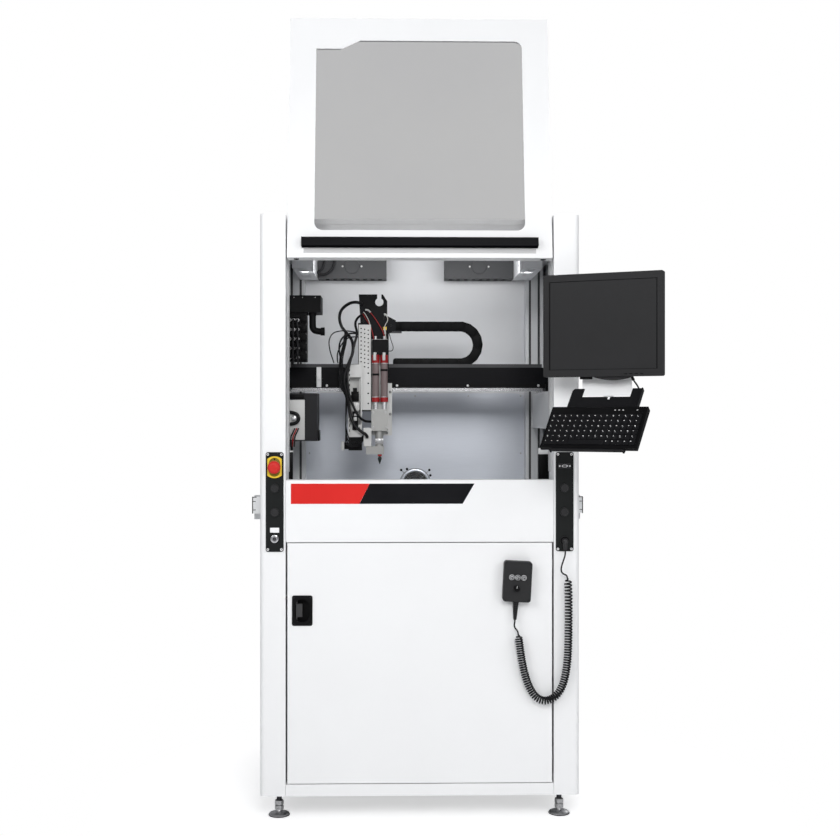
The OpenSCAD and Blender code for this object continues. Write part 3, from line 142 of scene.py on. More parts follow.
# The floor is matt white paper. Away from the machine it fades to the plain white of the
# surround, so that no horizon shows; near it the soft shadow stays.
floor_data = bpy.data.meshes.new("floor")
reach = 14
floor_data.from_pydata([(-reach, -reach, 0), (reach, -reach, 0), (reach, reach, 0),
                        (-reach, reach, 0)], [], [(0, 1, 2, 3)])
floor = bpy.data.objects.new("floor", floor_data)
bpy.context.collection.objects.link(floor)
floor_paint = bpy.data.materials.new("floor_paint")
floor_paint.use_nodes = True
ground = floor_paint.node_tree
matt = ground.nodes["Principled BSDF"]
matt.inputs["Base Color"].default_value = (0.9, 0.9, 0.9, 1)
matt.inputs["Roughness"].default_value = 0.95
matt.inputs["Specular IOR Level"].default_value = 0.1
glow = ground.nodes.new("ShaderNodeEmission")
glow.inputs["Strength"].default_value = 0.5
plain = ground.nodes.new("ShaderNodeEmission")
plain.inputs["Strength"].default_value = 1
rays = ground.nodes.new("ShaderNodeLightPath")
lift = ground.nodes.new("ShaderNodeAddShader")
fade = ground.nodes.new("ShaderNodeMixShader")
pick = ground.nodes.new("ShaderNodeMixShader")
where = ground.nodes.new("ShaderNodeTexCoord")
away = ground.nodes.new("ShaderNodeVectorMath")
away.operation = "LENGTH"
far = ground.nodes.new("ShaderNodeMapRange")
far.interpolation_type = "SMOOTHSTEP"
far.inputs["From Min"].default_value = 0.55
far.inputs["From Max"].default_value = 1.15
ground.links.new(where.outputs["Object"], away.inputs[0])
ground.links.new(away.outputs["Value"], far.inputs["Value"])
ground.links.new(matt.outputs[0], lift.inputs[0])
ground.links.new(glow.outputs[0], lift.inputs[1])
ground.links.new(far.outputs["Result"], fade.inputs["Fac"])
ground.links.new(lift.outputs[0], fade.inputs[1])
ground.links.new(plain.outputs[0], fade.inputs[2])
ground.links.new(rays.outputs["Is Camera Ray"], pick.inputs["Fac"])
ground.links.new(matt.outputs[0], pick.inputs[1])
ground.links.new(fade.outputs[0], pick.inputs[2])
ground.links.new(pick.outputs[0], ground.nodes["Material Output"].inputs["Surface"])
floor_data.materials.append(floor_paint)


# Curly cord between the hand pendant and the right control plate: one piece of black jacketed
# cable, straight at both ends and wound on a rod between them, so that it springs back. It
# hangs in a U under its own weight, and the turns near the plug are pulled open.
def smooth_route(points, step):
    """Catmull-Rom curve through the points, laid out again at an even spacing of step."""
    p = np.asarray(points, float)
    q = np.vstack([p[0], p, p[-1]])
    a, b, c, d = q[:-3, None], q[1:-2, None], q[2:-1, None], q[3:, None]
    t = np.linspace(0, 1, 12, endpoint=False)[None, :, None]
    curve = 0.5 * (2 * b + (c - a) * t + (2 * a - 5 * b + 4 * c - d) * t ** 2
                   + (3 * b - a - 3 * c + d) * t ** 3)
    curve = np.vstack([curve.reshape(-1, 3), p[-1]])
    run = np.r_[0, np.cumsum(np.linalg.norm(np.diff(curve, axis=0), axis=1))]
    even = np.linspace(0, run[-1], max(int(round(run[-1] / step)), 2) + 1)
    return np.stack([np.interp(even, run, curve[:, k]) for k in range(3)], axis=1)


def headings(route):
    """Unit tangent at each point of a route, from its neighbours on both sides."""
    t = np.gradient(route, axis=0)
    return t / np.linalg.norm(t, axis=1, keepdims=True)


def square_axes(route, toward):
    """Two unit vectors square to the route at each point; the first leans toward a direction."""
    t = headings(route)
    u = toward - (toward * t).sum(axis=1, keepdims=True) * t
    u = u / np.linalg.norm(u, axis=1, keepdims=True)
    return u, np.cross(t, u)


def grid_mesh(name, surface, wrap_u=False, wrap_v=False):
    """Mesh from an array of points in rows u and columns v: one quad for each cell, and one
    more row or column where a direction closes on itself."""
    nu, nv = surface.shape[:2]
    number = np.arange(nu * nv).reshape(nu, nv)
    if wrap_u:
        number = np.vstack([number, number[:1]])
    if wrap_v:
        number = np.hstack([number, number[:, :1]])
    quads = np.stack([number[:-1, :-1], number[1:, :-1], number[1:, 1:], number[:-1, 1:]], axis=2)
    mesh = bpy.data.meshes.new(name)
    mesh.vertices.add(nu * nv)
    mesh.vertices.foreach_set("co", surface.reshape(-1).astype(np.float32))
    mesh.loops.add(quads.size)
    mesh.loops.foreach_set("vertex_index", quads.reshape(-1).astype(np.int32))
    mesh.polygons.add(quads.size // 4)
    mesh.polygons.foreach_set("loop_start", np.arange(0, quads.size, 4, dtype=np.int32))
    mesh.update(calc_edges=True)
    return mesh


CRISP_ANGLE = 35


def joined_piece(name, meshes):
    """One piece from several meshes, welded where they meet, so that a row which shrinks to a
    point becomes a pole. Faces are turned outwards, and edges sharper than the crisp angle in
    degrees stay sharp."""
    welded = bmesh.new()
    for mesh in meshes:
        welded.from_mesh(mesh)
        bpy.data.meshes.remove(mesh)
    bmesh.ops.remove_doubles(welded, verts=welded.verts, dist=1e-6)
    bmesh.ops.dissolve_degenerate(welded, edges=welded.edges, dist=1e-7)
    bmesh.ops.recalc_face_normals(welded, faces=welded.faces)
    data = bpy.data.meshes.new(name)
    welded.to_mesh(data)
    welded.free()
    piece = bpy.data.objects.new(name, data)
    bpy.context.collection.objects.link(piece)
    data.shade_smooth()
    data.set_sharp_from_angle(angle=math.radians(CRISP_ANGLE))
    return piece


def tube_rings(route, radius, sides, toward):
    """Rings of points round a route: radius times the cosine and sine of an angle along the
    two axes square to it. A ring of no radius at each end closes the tube."""
    u, w = square_axes(route, np.asarray(toward, float))
    radius = np.broadcast_to(radius, len(route))
    a = np.linspace(0, 2 * np.pi, sides, endpoint=False)[None, :, None]
    around = np.cos(a) * u[:, None] + np.sin(a) * w[:, None]
    rings = route[:, None] + radius[:, None, None] * around
    start = np.repeat(route[:1, None], sides, axis=1)
    end = np.repeat(route[-1:, None], sides, axis=1)
    return np.concatenate([start, rings, end])


def tube_mesh(name, route, radius, sides=12, toward=(0, 1, 0.01)):
    """Mesh of a round tube along a route, closed at both ends."""
    return grid_mesh(name, tube_rings(route, radius, sides, toward), wrap_v=True)


def tube_piece(name, route, radius, sides=12):
    """Round tube along a route as a piece."""
    return joined_piece(name, [tube_mesh(name, route, radius, sides)])


top_lead = [[446.5, -16, 805.7], [446.5, -16, 798], [445, -17, 788], [440, -19, 774],
            [435, -21, 760], [433, -22, 748], [436, -22, 738], [443, -22, 733], [449, -22, 730]]
curl_route = [[452, -22, 722], [455, -22, 690], [456, -22, 640], [456, -22, 580],
              [455, -22, 520], [452, -22, 465], [444, -22, 415], [430, -22, 378],
              [408, -22, 354], [382, -22, 346], [357, -22, 356], [338, -22, 382],
              [324, -22, 418], [314, -22, 460], [307, -22, 505], [301, -22, 550]]
bottom_lead = [[300, -22, 556], [297, -22, 562], [292, -21, 568], [289, -20, 577],
               [290.4, -19, 586], [290.8, -19, 594.2]]
cord_mm = 4.8
coil_mm = 25
core_mm = (coil_mm - cord_mm) / 2
line = smooth_route(top_lead + curl_route + bottom_lead, 0.5)
along = np.r_[0, np.cumsum(np.linalg.norm(np.diff(line, axis=0), axis=1))]
lead_in = np.linalg.norm(line - np.array(curl_route[0]), axis=1).argmin()
lead_out = np.linalg.norm(line - np.array(curl_route[-1]), axis=1).argmin()
s_in, s_out = along[lead_in], along[lead_out]
opening_up = np.exp(-((along - s_in) / 190) ** 2)
pitch = 7.3 + 3.0 * opening_up
wound = ((along > s_in) & (along < s_out)).astype(float)
turns = 2 * np.pi * np.cumsum(wound / pitch * np.r_[0, np.diff(along)])
swell = np.clip(np.minimum(along - s_in, s_out - along) / 14, 0, 1)
swell = swell * swell * (3 - 2 * swell)
rings_per_turn = 14
spread = turns / (2 * np.pi) * rings_per_turn + along / 4
n_cord = int(turns[-1] / (2 * np.pi) * rings_per_turn) + 60
pick_at = np.interp(np.linspace(0, spread[-1], n_cord), spread, np.arange(len(line)))


def picked(values):
    """Values along the fine line, read off at the places where the cord gets a ring."""
    return np.interp(pick_at, np.arange(len(line)), values)


centre_line = np.stack([picked(line[:, k]) for k in range(3)], axis=1)
u_axis, w_axis = square_axes(centre_line, np.array([0, 1, 0.01]))
phase = picked(turns)[:, None]
cord_path = spots(centre_line + core_mm * picked(swell)[:, None]
                  * (np.cos(phase) * u_axis + np.sin(phase) * w_axis))
curly = tube_piece("curly_cord_jacket", cord_path, cord_mm / 2000, sides=8)
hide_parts("curly_cord", "cord_leads")
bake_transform(curly)


# Finishes. A finish is a material whose colour, roughness and relief all vary a little over
# the surface; effects that several finishes share are node groups.
def effect_group(name, inputs, outputs):
    """Empty shader node group with named float or colour inputs and outputs."""
    group = bpy.data.node_groups.new(name, "ShaderNodeTree")
    for label, kind, value in inputs:
        socket = group.interface.new_socket(label, in_out="INPUT", socket_type=kind)
        socket.default_value = value
    for label, kind in outputs:
        group.interface.new_socket(label, in_out="OUTPUT", socket_type=kind)
    return group, group.nodes.new("NodeGroupInput"), group.nodes.new("NodeGroupOutput")


FLOAT, COLOUR = "NodeSocketFloat", "NodeSocketColor"


def scaled_noise(group, size, detail):
    """Noise over Object coordinates, with its scale driven by a socket."""
    place = group.nodes.new("ShaderNodeTexCoord")
    noise = group.nodes.new("ShaderNodeTexNoise")
    noise.inputs["Detail"].default_value = detail
    group.links.new(place.outputs["Object"], noise.inputs["Vector"])
    group.links.new(size, noise.inputs["Scale"])
    return noise.outputs["Fac"]


def spread_range(group, value, low, high):
    """The value, with the stretch from low to high opened out to 0 to 1."""
    ramp = group.nodes.new("ShaderNodeMapRange")
    ramp.inputs["From Min"].default_value = low
    ramp.inputs["From Max"].default_value = high
    group.links.new(value, ramp.inputs["Value"])
    return ramp.outputs["Result"]


# Skin: large soft clouds shift the colour and roughness, fine grain gives the relief
skin, given, out = effect_group(
    "skin", [("Colour", COLOUR, (1, 1, 1, 1)), ("Other colour", COLOUR, (1, 1, 1, 1)),
             ("Roughness", FLOAT, 0.4), ("Other roughness", FLOAT, 0.5),
             ("Clouds per metre", FLOAT, 6), ("Grains per metre", FLOAT, 900)],
    [("Colour", COLOUR), ("Roughness", FLOAT), ("Relief", FLOAT)])
clouds = spread_range(skin, scaled_noise(skin, given.outputs["Clouds per metre"], 3), 0.35, 0.65)
grains = scaled_noise(skin, given.outputs["Grains per metre"], 1)
tint = skin.nodes.new("ShaderNodeMix")
tint.data_type = "RGBA"
skin.links.new(clouds, tint.inputs["Factor"])
skin.links.new(given.outputs["Colour"], tint.inputs["A"])
skin.links.new(given.outputs["Other colour"], tint.inputs["B"])
skin.links.new(tint.outputs["Result"], out.inputs["Colour"])
dull = skin.nodes.new("ShaderNodeMix")
skin.links.new(clouds, dull.inputs["Factor"])
skin.links.new(given.outputs["Roughness"], dull.inputs["A"])
skin.links.new(given.outputs["Other roughness"], dull.inputs["B"])
skin.links.new(dull.outputs["Result"], out.inputs["Roughness"])
skin.links.new(grains, out.inputs["Relief"])

# Drawn grain: noise pulled out along one direction, as rolling, extruding or brushing leaves it
drawn, given, out = effect_group(
    "drawn_grain", [("Across X", FLOAT, 900), ("Across Y", FLOAT, 900), ("Across Z", FLOAT, 20),
                    ("Low", FLOAT, 0.25), ("High", FLOAT, 0.45)],
    [("Grain", FLOAT), ("Roughness", FLOAT)])
place = drawn.nodes.new("ShaderNodeTexCoord")
stretch = drawn.nodes.new("ShaderNodeCombineXYZ")
pull = drawn.nodes.new("ShaderNodeVectorMath")
pull.operation = "MULTIPLY"
for axis in "XYZ":
    drawn.links.new(given.outputs["Across " + axis], stretch.inputs[axis])
drawn.links.new(place.outputs["Object"], pull.inputs[0])
drawn.links.new(stretch.outputs["Vector"], pull.inputs[1])
lines = drawn.nodes.new("ShaderNodeTexNoise")
lines.inputs["Scale"].default_value = 1
lines.inputs["Detail"].default_value = 2
drawn.links.new(pull.outputs["Vector"], lines.inputs["Vector"])
grain = spread_range(drawn, lines.outputs["Fac"], 0.3, 0.7)
sheen = drawn.nodes.new("ShaderNodeMix")
drawn.links.new(grain, sheen.inputs["Factor"])
drawn.links.new(given.outputs["Low"], sheen.inputs["A"])
drawn.links.new(given.outputs["High"], sheen.inputs["B"])
drawn.links.new(grain, out.inputs["Grain"])
drawn.links.new(sheen.outputs["Result"], out.inputs["Roughness"])


def finish_of(name, metallic=0.0, specular=None):
    """New material with its Principled shader; constant values go straight on its sockets."""
    material = bpy.data.materials.new(name)
    material.use_nodes = True
    shader = material.node_tree.nodes["Principled BSDF"]
    shader.inputs["Metallic"].default_value = metallic
    if specular is not None:
        shader.inputs["Specular IOR Level"].default_value = specular
    return material, material.node_tree, shader


def place_group(tree, group, values):
    """Instance of an effect group in a material, with its own values."""
    node = tree.nodes.new("ShaderNodeGroup")
    node.node_tree = group
    for label, value in values.items():
        node.inputs[label].default_value = value
    return node


def raise_relief(tree, shader, height, depth, strength):
    """Bump from a height, with its depth in metres."""
    bump = tree.nodes.new("ShaderNodeBump")
    bump.inputs["Distance"].default_value = depth
    bump.inputs["Strength"].default_value = strength
    tree.links.new(height, bump.inputs["Height"])
    tree.links.new(bump.outputs["Normal"], shader.inputs["Normal"])


def skin_finish(name, colour, shift, rough, clouds=6, grains=900, depth=0.00005, strength=0.3,
                **shader_values):
    """Painted, moulded or cast finish: two near colours and roughnesses in soft clouds, over
    a fine grain. shift is how far the second colour lies from the first."""
    material, tree, shader = finish_of(name, **shader_values)
    node = place_group(tree, skin, {
        "Colour": (*colour, 1), "Other colour": (*(c * (1 + shift) for c in colour), 1),
        "Roughness": rough[0], "Other roughness": rough[1], "Clouds per metre": clouds,
        "Grains per metre": grains})
    tree.links.new(node.outputs["Colour"], shader.inputs["Base Color"])
    tree.links.new(node.outputs["Roughness"], shader.inputs["Roughness"])
    raise_relief(tree, shader, node.outputs["Relief"], depth, strength)
    return material


def drawn_finish(name, colour, across, rough, metallic=1.0, dark=0.75, depth=0.00003,
                 specular=None):
    """Metal with a grain along the direction whose number in across is small: the grain shades
    the colour toward dark and shifts the roughness."""
    material, tree, shader = finish_of(name, metallic, specular)
    node = place_group(tree, drawn, {"Across X": across[0], "Across Y": across[1],
                                     "Across Z": across[2], "Low": rough[0], "High": rough[1]})
    tint = tree.nodes.new("ShaderNodeMix")
    tint.data_type = "RGBA"
    tint.inputs["A"].default_value = (*(c * dark for c in colour), 1)
    tint.inputs["B"].default_value = (*colour, 1)
    tree.links.new(node.outputs["Grain"], tint.inputs["Factor"])
    tree.links.new(tint.outputs["Result"], shader.inputs["Base Color"])
    tree.links.new(node.outputs["Roughness"], shader.inputs["Roughness"])
    raise_relief(tree, shader, node.outputs["Grain"], depth, 0.2)
    return material


def dress(node_or_piece, material):
    """The material in every slot of a frame node or of a new piece."""
    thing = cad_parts[node_or_piece] if isinstance(node_or_piece, str) else node_or_piece
    thing.data.materials.clear()
    thing.data.materials.append(material)
    return thing


def fitted(piece, material, body):
    """A finished piece: its material and the body that it rides on."""
    dress(piece, material)
    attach(piece, body)


def built(name, meshes, material, body):
    """A finished piece from several meshes."""
    return fitted(joined_piece(name, meshes), material, body)


jacket = skin_finish("cord_jacket", (0.007, 0.007, 0.008), 0.5, (0.42, 0.58), grains=1400,
                     specular=0.2)
dress(curly, jacket)


# Welded frame: rectangular steel tubes, grit-blasted and powder-coated light grey. The beads
# at the joints stay hidden behind the covers.
frame_paint = skin_finish("frame_powder_coat", (0.52, 0.53, 0.54), 0.06, (0.45, 0.6),
                          grains=500, depth=0.00008)
dress("welded_frame", frame_paint)

# Levelling feet: turned steel pads with a ball neck under a stud, bright zinc plated, with two
# lock nuts low on the stud. Each pad stands on a moulded rubber ring pressed round its edge.
zinc = drawn_finish("bright_zinc", (0.62, 0.62, 0.63), (300, 300, 900), (0.22, 0.4))
dull_stud = drawn_finish("dull_stud", (0.10, 0.10, 0.105), (500, 500, 900), (0.35, 0.5))
rubber = skin_finish("black_rubber", (0.007, 0.007, 0.008), 0.4, (0.6, 0.8), grains=700,
                     specular=0.15)


def dress_parts(node, material, *rules):
    """Several finishes on one frame node: each rule is a material and a box in millimetres,
    and a face takes the material of the first box that holds its middle."""
    thing = dress(node, material)
    mesh = thing.data
    middles = np.empty(len(mesh.polygons) * 3, np.float32)
    mesh.polygons.foreach_get("center", middles)
    place = np.array(thing.matrix_world)
    world = middles.reshape(-1, 3) @ place[:3, :3].T + place[:3, 3]
    mm = (world - datum) * 1000
    index = np.zeros(len(mm), np.int32)
    for number, (other, low, high) in enumerate(rules, 1):
        mesh.materials.append(other)
        held = ((mm >= np.array(low) - 0.01) & (mm <= np.array(high) + 0.01)).all(axis=1)
        index[held & (index == 0)] = number
    mesh.polygons.foreach_set("material_index", index)
    return thing


FAR = 4000
foot_low, foot_high = box_mm("levelling_feet")
floor_z = foot_low[2]
dress_parts("levelling_feet", zinc, (dull_stud, (-FAR, -FAR, floor_z + 47), (FAR, FAR, 41)))


def lathe_mesh(name, profile, centre, axis, sides):
    """Profile of radii and heights in millimetres, turned about an axis through a place."""
    axis = np.asarray(axis, float)
    side = np.cross(axis, [0, 0, 1] if abs(axis[2]) < 0.9 else [1, 0, 0])
    side = side / np.linalg.norm(side)
    other = np.cross(axis, side)
    r, h = np.array(profile, float).T[:, :, None, None]
    a = np.linspace(0, 2 * np.pi, sides, endpoint=False)[None, :, None]
    points = spot(*centre) + (h * axis + r * (np.cos(a) * side + np.sin(a) * other)) / 1000
    return grid_mesh(name, points, wrap_v=True)


def turned_piece(name, profile, centres, material, body, axis=(0, 1, 0), sides=48):
    """Like turned parts as one fitted piece: the same profile at each of several places, its
    heights counted backwards from the front unless another axis is given."""
    built(name, [lathe_mesh(name + "_part", profile, c, axis, sides) for c in centres], material,
          body)


foot_places = [(x, y, floor_z) for x in (foot_low[0] + 32.5, foot_high[0] - 32.5)
               for y in (foot_low[1] + 32.5, foot_high[1] - 32.5)]
turned_piece("foot_rings", [[0, 0.1], [31, 0.1], [33.2, 0.5], [33.6, 1.8], [33.2, 3.2],
                            [31, 3.6], [31, 0.4], [0, 0.4]], foot_places, rubber, "root",
             axis=(0, 0, 1))
thread = [[0, 47.2]] + [[7.9 + 0.45 * (i % 2), 47.2 + 0.9 * i] for i in range(30)] + [[0, 74]]
turned_piece("foot_threads", thread, foot_places, dull_stud, "root", axis=(0, 0, 1),
             sides=32)


# Covers: folded steel sheet with white powder coat, satin, with the slight orange peel of
# baked powder. They hang on the frame from inside, so no screw shows on the front.
cover_paint = skin_finish("white_powder_coat", (0.88, 0.885, 0.89), 0.015, (0.34, 0.44),
                          clouds=3, grains=420, depth=0.00012, strength=0.12)
for node in ["column_cover_left", "column_cover_right", "side_panels", "rear_panel",
             "roof_panel", "base_pan", "front_panel", "service_door", "window_frame"]:
    dress(node, cover_paint)

# Rear and side panels are held by rows of black-oxide button screws along their edges
black_oxide = skin_finish("black_oxide", (0.012, 0.012, 0.013), 0.4, (0.35, 0.5), metallic=0.3,
                          specular=0.2)
button = [[0, -2.6], [1.6, -2.6], [1.6, -1.4], [1.7, -1.4], [3.4, -1.9], [4.6, -1.0], [4.9, 0],
          [0, 0]]
half_width, depth_mm = box_mm("rear_panel")[1][:2]
screw_zs = np.linspace(110, 1780, 6)
rear_screws = [(x, depth_mm, z) for x in (-half_width + 24, half_width - 24) for z in screw_zs]
rear_screws += [(x, depth_mm, z) for x in (-150, 150) for z in (84, 1806)]
turned_piece("rear_screws", button, rear_screws, black_oxide, "root", axis=(0, -1, 0),
             sides=20)
for side, name in ((-1, "left"), (1, "right")):
    rows = [(side * half_width, y, z) for y in (160, depth_mm - 28) for z in screw_zs]
    turned_piece(name + "_side_screws", button, rows, black_oxide, "root",
                 axis=(-side, 0, 0), sides=20)

# Extraction spigot: rolled and seamed galvanised sheet, fixed to the roof by four screws
galvanised = drawn_finish("galvanised", (0.66, 0.67, 0.68), (60, 60, 60), (0.3, 0.5), dark=0.82)
dress("exhaust_collar", galvanised)
spigot_low, spigot_high = box_mm("exhaust_collar")
spigot_y, spigot_z = (spigot_low[1] + spigot_high[1]) / 2, spigot_low[2]
seat_r = 85
diagonals = np.radians([45, 135, 225, 315])
flange_screws = [(seat_r * math.cos(a), spigot_y + seat_r * math.sin(a), spigot_z + 3)
                 for a in diagonals]
turned_piece("spigot_screws", button, flange_screws, zinc, "root", axis=(0, 0, -1),
             sides=20)


# Work chamber: pale sheet inside, slotted aluminium posts in its rear corners and a satin
# stainless splash sheet on the lower half of the rear wall, cut round for the fan.
chamber_paint = skin_finish("chamber_coat", (0.74, 0.75, 0.77), 0.04, (0.32, 0.42), clouds=4,
                            grains=420, depth=0.0001, strength=0.1)
dress("chamber_deck", chamber_paint)
dress("chamber_wall", chamber_paint)
extruded = drawn_finish("extruded_aluminium", (0.72, 0.73, 0.74), (900, 900, 4), (0.3, 0.46),
                        dark=0.9)
# Painted shade: the faces inside the posts' slots take a dark grey, standing for the shade in the
# slots
painted_slot_shade = skin_finish("slot_shade", (0.10, 0.10, 0.102), 0.3, (0.5, 0.6), specular=0.2)
post_in, post_y = box_mm("chamber_posts")[1][0] - 66, box_mm("chamber_posts")[0][1]
slot_spans = [sorted((side * (post_in + near), side * (post_in + near + 17)))
              for side in (-1, 1) for near in (8, 41)]
dress_parts("chamber_posts", extruded, *[
    (painted_slot_shade, (x0, post_y + 0.5, 0), (x1, post_y + 11, FAR)) for x0, x1 in slot_spans])
wall_y, deck_z = box_mm("chamber_wall")[0][1:]
fan_z = sum(corner[2] for corner in box_mm("fan_housing")) / 2
fan_r = 56
around = np.linspace(0, 2 * np.pi, 128, endpoint=False)
sheet_low, sheet_high = (-409, deck_z + 4 - fan_z), (409, 1306 - fan_z)
ray = [np.cos(around), np.sin(around)]
reaches = [np.abs(np.where(r > 0, high, low) / np.where(np.abs(r) < 1e-9, 1e-9, r))
           for r, low, high in zip(ray, sheet_low, sheet_high)]
hole_r = fan_r + 0.5
radii = hole_r + (np.minimum(*reaches) - hole_r) * np.linspace(0, 1, 12)[:, None]
front_face = np.stack([radii * ray[0], np.full_like(radii, wall_y - 0.8),
                       fan_z + radii * ray[1]], axis=2)
back_face = front_face[::-1] + np.array([0, 0.6, 0])
splash = joined_piece("splash_sheet", [grid_mesh(
    "splash_sheet", spots(np.concatenate([front_face, back_face])), wrap_u=True, wrap_v=True)])
satin_sheet = drawn_finish("satin_stainless", (0.67, 0.70, 0.76), (14, 14, 500), (0.30, 0.40),
                           metallic=0.75, dark=0.96)
fitted(splash, satin_sheet, "root")
rivets = [(x, wall_y - 0.9, 1296) for x in (-398, -200, 0, 200, 398)]
rivets += [(x, wall_y - 0.9, z) for x in (-398, 398) for z in (870, 1080)]
turned_piece("splash_rivets", [[0, -1.4], [1.8, -1.2], [3.2, 0], [0, 0]], rivets, zinc, "root",
             sides=16)
duct_paint = skin_finish("duct_coat", (0.052, 0.053, 0.056), 0.15, (0.4, 0.55), grains=500,
                         specular=0.25)
dress_parts("air_ducts", duct_paint, (chamber_paint, (-FAR, -FAR, 0), (-362.5, 770, FAR)),
            (chamber_paint, (362.5, -FAR, 0), (FAR, 770, FAR)))

# The round knock-outs in both rear boxes are still closed; each disc hangs by two bright rivets
white_plate = skin_finish("white_plate", (0.60, 0.60, 0.59), 0.08, (0.35, 0.5), grains=700)
duct_rear, duct_top = box_mm("air_ducts")[1][1:]
box_front, disc_x, disc_z = duct_rear - 90, 235, duct_top - 62
discs = [(sx * disc_x, box_front + 0.4, disc_z) for sx in (-1, 1)]
turned_piece("knock_outs", [[0, -1.2], [26.4, -1.2], [27.2, -0.6], [27.2, 3], [0, 3]], discs,
             duct_paint, "root", sides=64)
dots = [(sx * disc_x + dx, box_front + 0.1, disc_z) for sx in (-1, 1) for dx in (-35, 35)]
turned_piece("box_rivets", [[0, -1.8], [2.2, -1.5], [3.8, 0], [0, 0]], dots, white_plate, "root",
             sides=18)

# Fan low in the rear wall: moulded housing behind the sheet, blades on a hub, a bright inlet
# ring, and a guard of welded and painted wire rings under eight black screws.
moulded_black = skin_finish("moulded_black", (0.0045, 0.0045, 0.0049), 0.6, (0.38, 0.5),
                            grains=1600, depth=0.00004, specular=0.07)
dress("fan_housing", moulded_black)
dress_parts("fan_rotor", skin_finish("fan_blades", (0.05, 0.05, 0.055), 0.3, (0.3, 0.42)),
            (duct_paint, (-24, -FAR, fan_z - 24), (24, FAR, fan_z + 24)))
chrome = drawn_finish("bright_wire", (0.75, 0.76, 0.78), (40, 40, 40), (0.12, 0.22), dark=0.92)
guard_y = wall_y - 3.4
guard_reach = 75


def ring_mesh(centre, r, wire, sides=8):
    """Round wire bent to a closed ring that faces the front: the centre, plus the ring's radius
    and a small circle of the wire's radius in the plane through the ring's axis."""
    b = np.linspace(0, 2 * np.pi, sides, endpoint=False)[None, :]
    a = np.linspace(0, 2 * np.pi, 96, endpoint=False)[:, None]
    across = r + wire * np.cos(b)
    x, z = across * np.cos(a), across * np.sin(a)
    rise = np.broadcast_to(wire * np.sin(b), x.shape)
    return grid_mesh("ring", spots(np.stack([x, rise, z], axis=2) + np.array(centre)),
                     wrap_u=True, wrap_v=True)


wire_coat = skin_finish("wire_coat", (0.30, 0.305, 0.31), 0.1, (0.35, 0.45), grains=900)
turned_piece("inlet_ring", [[48, 0.3], [48.2, -1.1], [49, -1.4], [56, -1.4], [58.2, 0.1],
                            [48, 0.3]], [(0, wall_y - 1, fan_z)], satin_sheet, "root",
             sides=96)
guard = [ring_mesh((0, guard_y, fan_z), r, 1.1) for r in (7, 15, 23, 31, 39, 46, 59)]
for a in diagonals:
    arm = np.array([[s * math.cos(a), guard_y + 1.9, fan_z + s * math.sin(a)]
                    for s in np.linspace(6, guard_reach, 12)])
    arm[-3:, 1] += [0.1, 0.3, 0.5]
    guard.append(tube_mesh("arm", spots(arm), 0.0012, sides=8, toward=(0, 1, 0)))
built("fan_guard", guard, wire_coat, "root")
guard_ends = [(guard_reach * sx * 0.7071, wall_y, fan_z + guard_reach * sz * 0.7071)
              for sx in (-1, 1) for sz in (-1, 1)]
guard_ends += [(sx * x, wall_y, fan_z + sx * z) for sx in (-1, 1)
               for x, z in ((57, 33), (31, -57))]
turned_piece("guard_screws", [[0, -3.6], [2, -3.4], [4, -2.2], [4.6, -0.9], [0, -0.9]],
             guard_ends, moulded_black, "root", sides=20)


# Window guides and rollers: milled acetal blocks behind the columns, steel rollers in grooves
acetal = skin_finish("acetal", (0.55, 0.555, 0.56), 0.05, (0.4, 0.5), grains=900)
dress("door_guides", acetal)
ground_steel = drawn_finish("ground_steel", (0.56, 0.56, 0.57), (700, 40, 700), (0.18, 0.3))
dress("door_shoes", ground_steel)


# Gantry: two painted side beams carry ground rails. The cross beam that rides on them is a
# black anodised box with a plain front; its own two rails lie above and below it.
side_paint = skin_finish("side_beam_coat", (0.72, 0.73, 0.74), 0.06, (0.34, 0.46), grains=500)
dress_parts("y_rails", side_paint, (ground_steel, (-FAR, -FAR, 1302.5), (FAR, FAR, FAR)))
anodised = drawn_finish("black_anodised", (0.0065, 0.0065, 0.0082), (20, 700, 700), (0.3, 0.42),
                        metallic=0, dark=0.8, specular=0.07)
beam_low, beam_high = box_mm("x_beam")
beam_y, beam_z = beam_low[1] + 15, beam_high[2] - 82
rail_y = (beam_y + 0.9, beam_y + 9.1)
dress_parts("x_beam", anodised,
            (duct_paint, (-FAR, rail_y[0], beam_z + 70.1), (FAR, rail_y[1], beam_z + 83)),
            (ground_steel, (-FAR, rail_y[0], beam_z - 13), (FAR, rail_y[1], beam_z - 0.1)),
            (moulded_black, (-FAR, -FAR, 0), (FAR, FAR, beam_z + 9.9)))
dress("x_carriage", anodised)


def setting(origin, turned=(0, 0, 0)):
    """Place in millimetres, with turns in degrees about X, then Y, then Z. What comes back is a
    function that takes points drawn at that place to the machine."""
    c, s = np.cos(np.radians(turned)), np.sin(np.radians(turned))
    about_x = np.array([[1, 0, 0], [0, c[0], -s[0]], [0, s[0], c[0]]])
    about_y = np.array([[c[1], 0, s[1]], [0, 1, 0], [-s[1], 0, c[1]]])
    about_z = np.array([[c[2], -s[2], 0], [s[2], c[2], 0], [0, 0, 1]])
    matrix = about_z @ about_y @ about_x
    return lambda points: np.array(points, float) @ matrix.T + np.array(origin, float)


machine = setting((0, 0, 0))


def block(low, high, bevel=0.6, place=machine):
    """Box between two corners in millimetres, its edges cut off by a small round, as a mesh."""
    low, high = np.array(low, float), np.array(high, float)
    mesh = bpy.data.meshes.new("block")
    box = bmesh.new()
    bmesh.ops.create_cube(box, size=1)
    for vert in box.verts:
        vert.co = (low + high) / 2 + np.array(vert.co) * (high - low)
    if bevel:
        bmesh.ops.bevel(box, geom=box.edges, offset=bevel, segments=2, affect="EDGES",
                        profile=0.5)
    for vert in box.verts:
        vert.co = spot(*place(np.array(vert.co)))
    box.to_mesh(mesh)
    box.free()
    return mesh


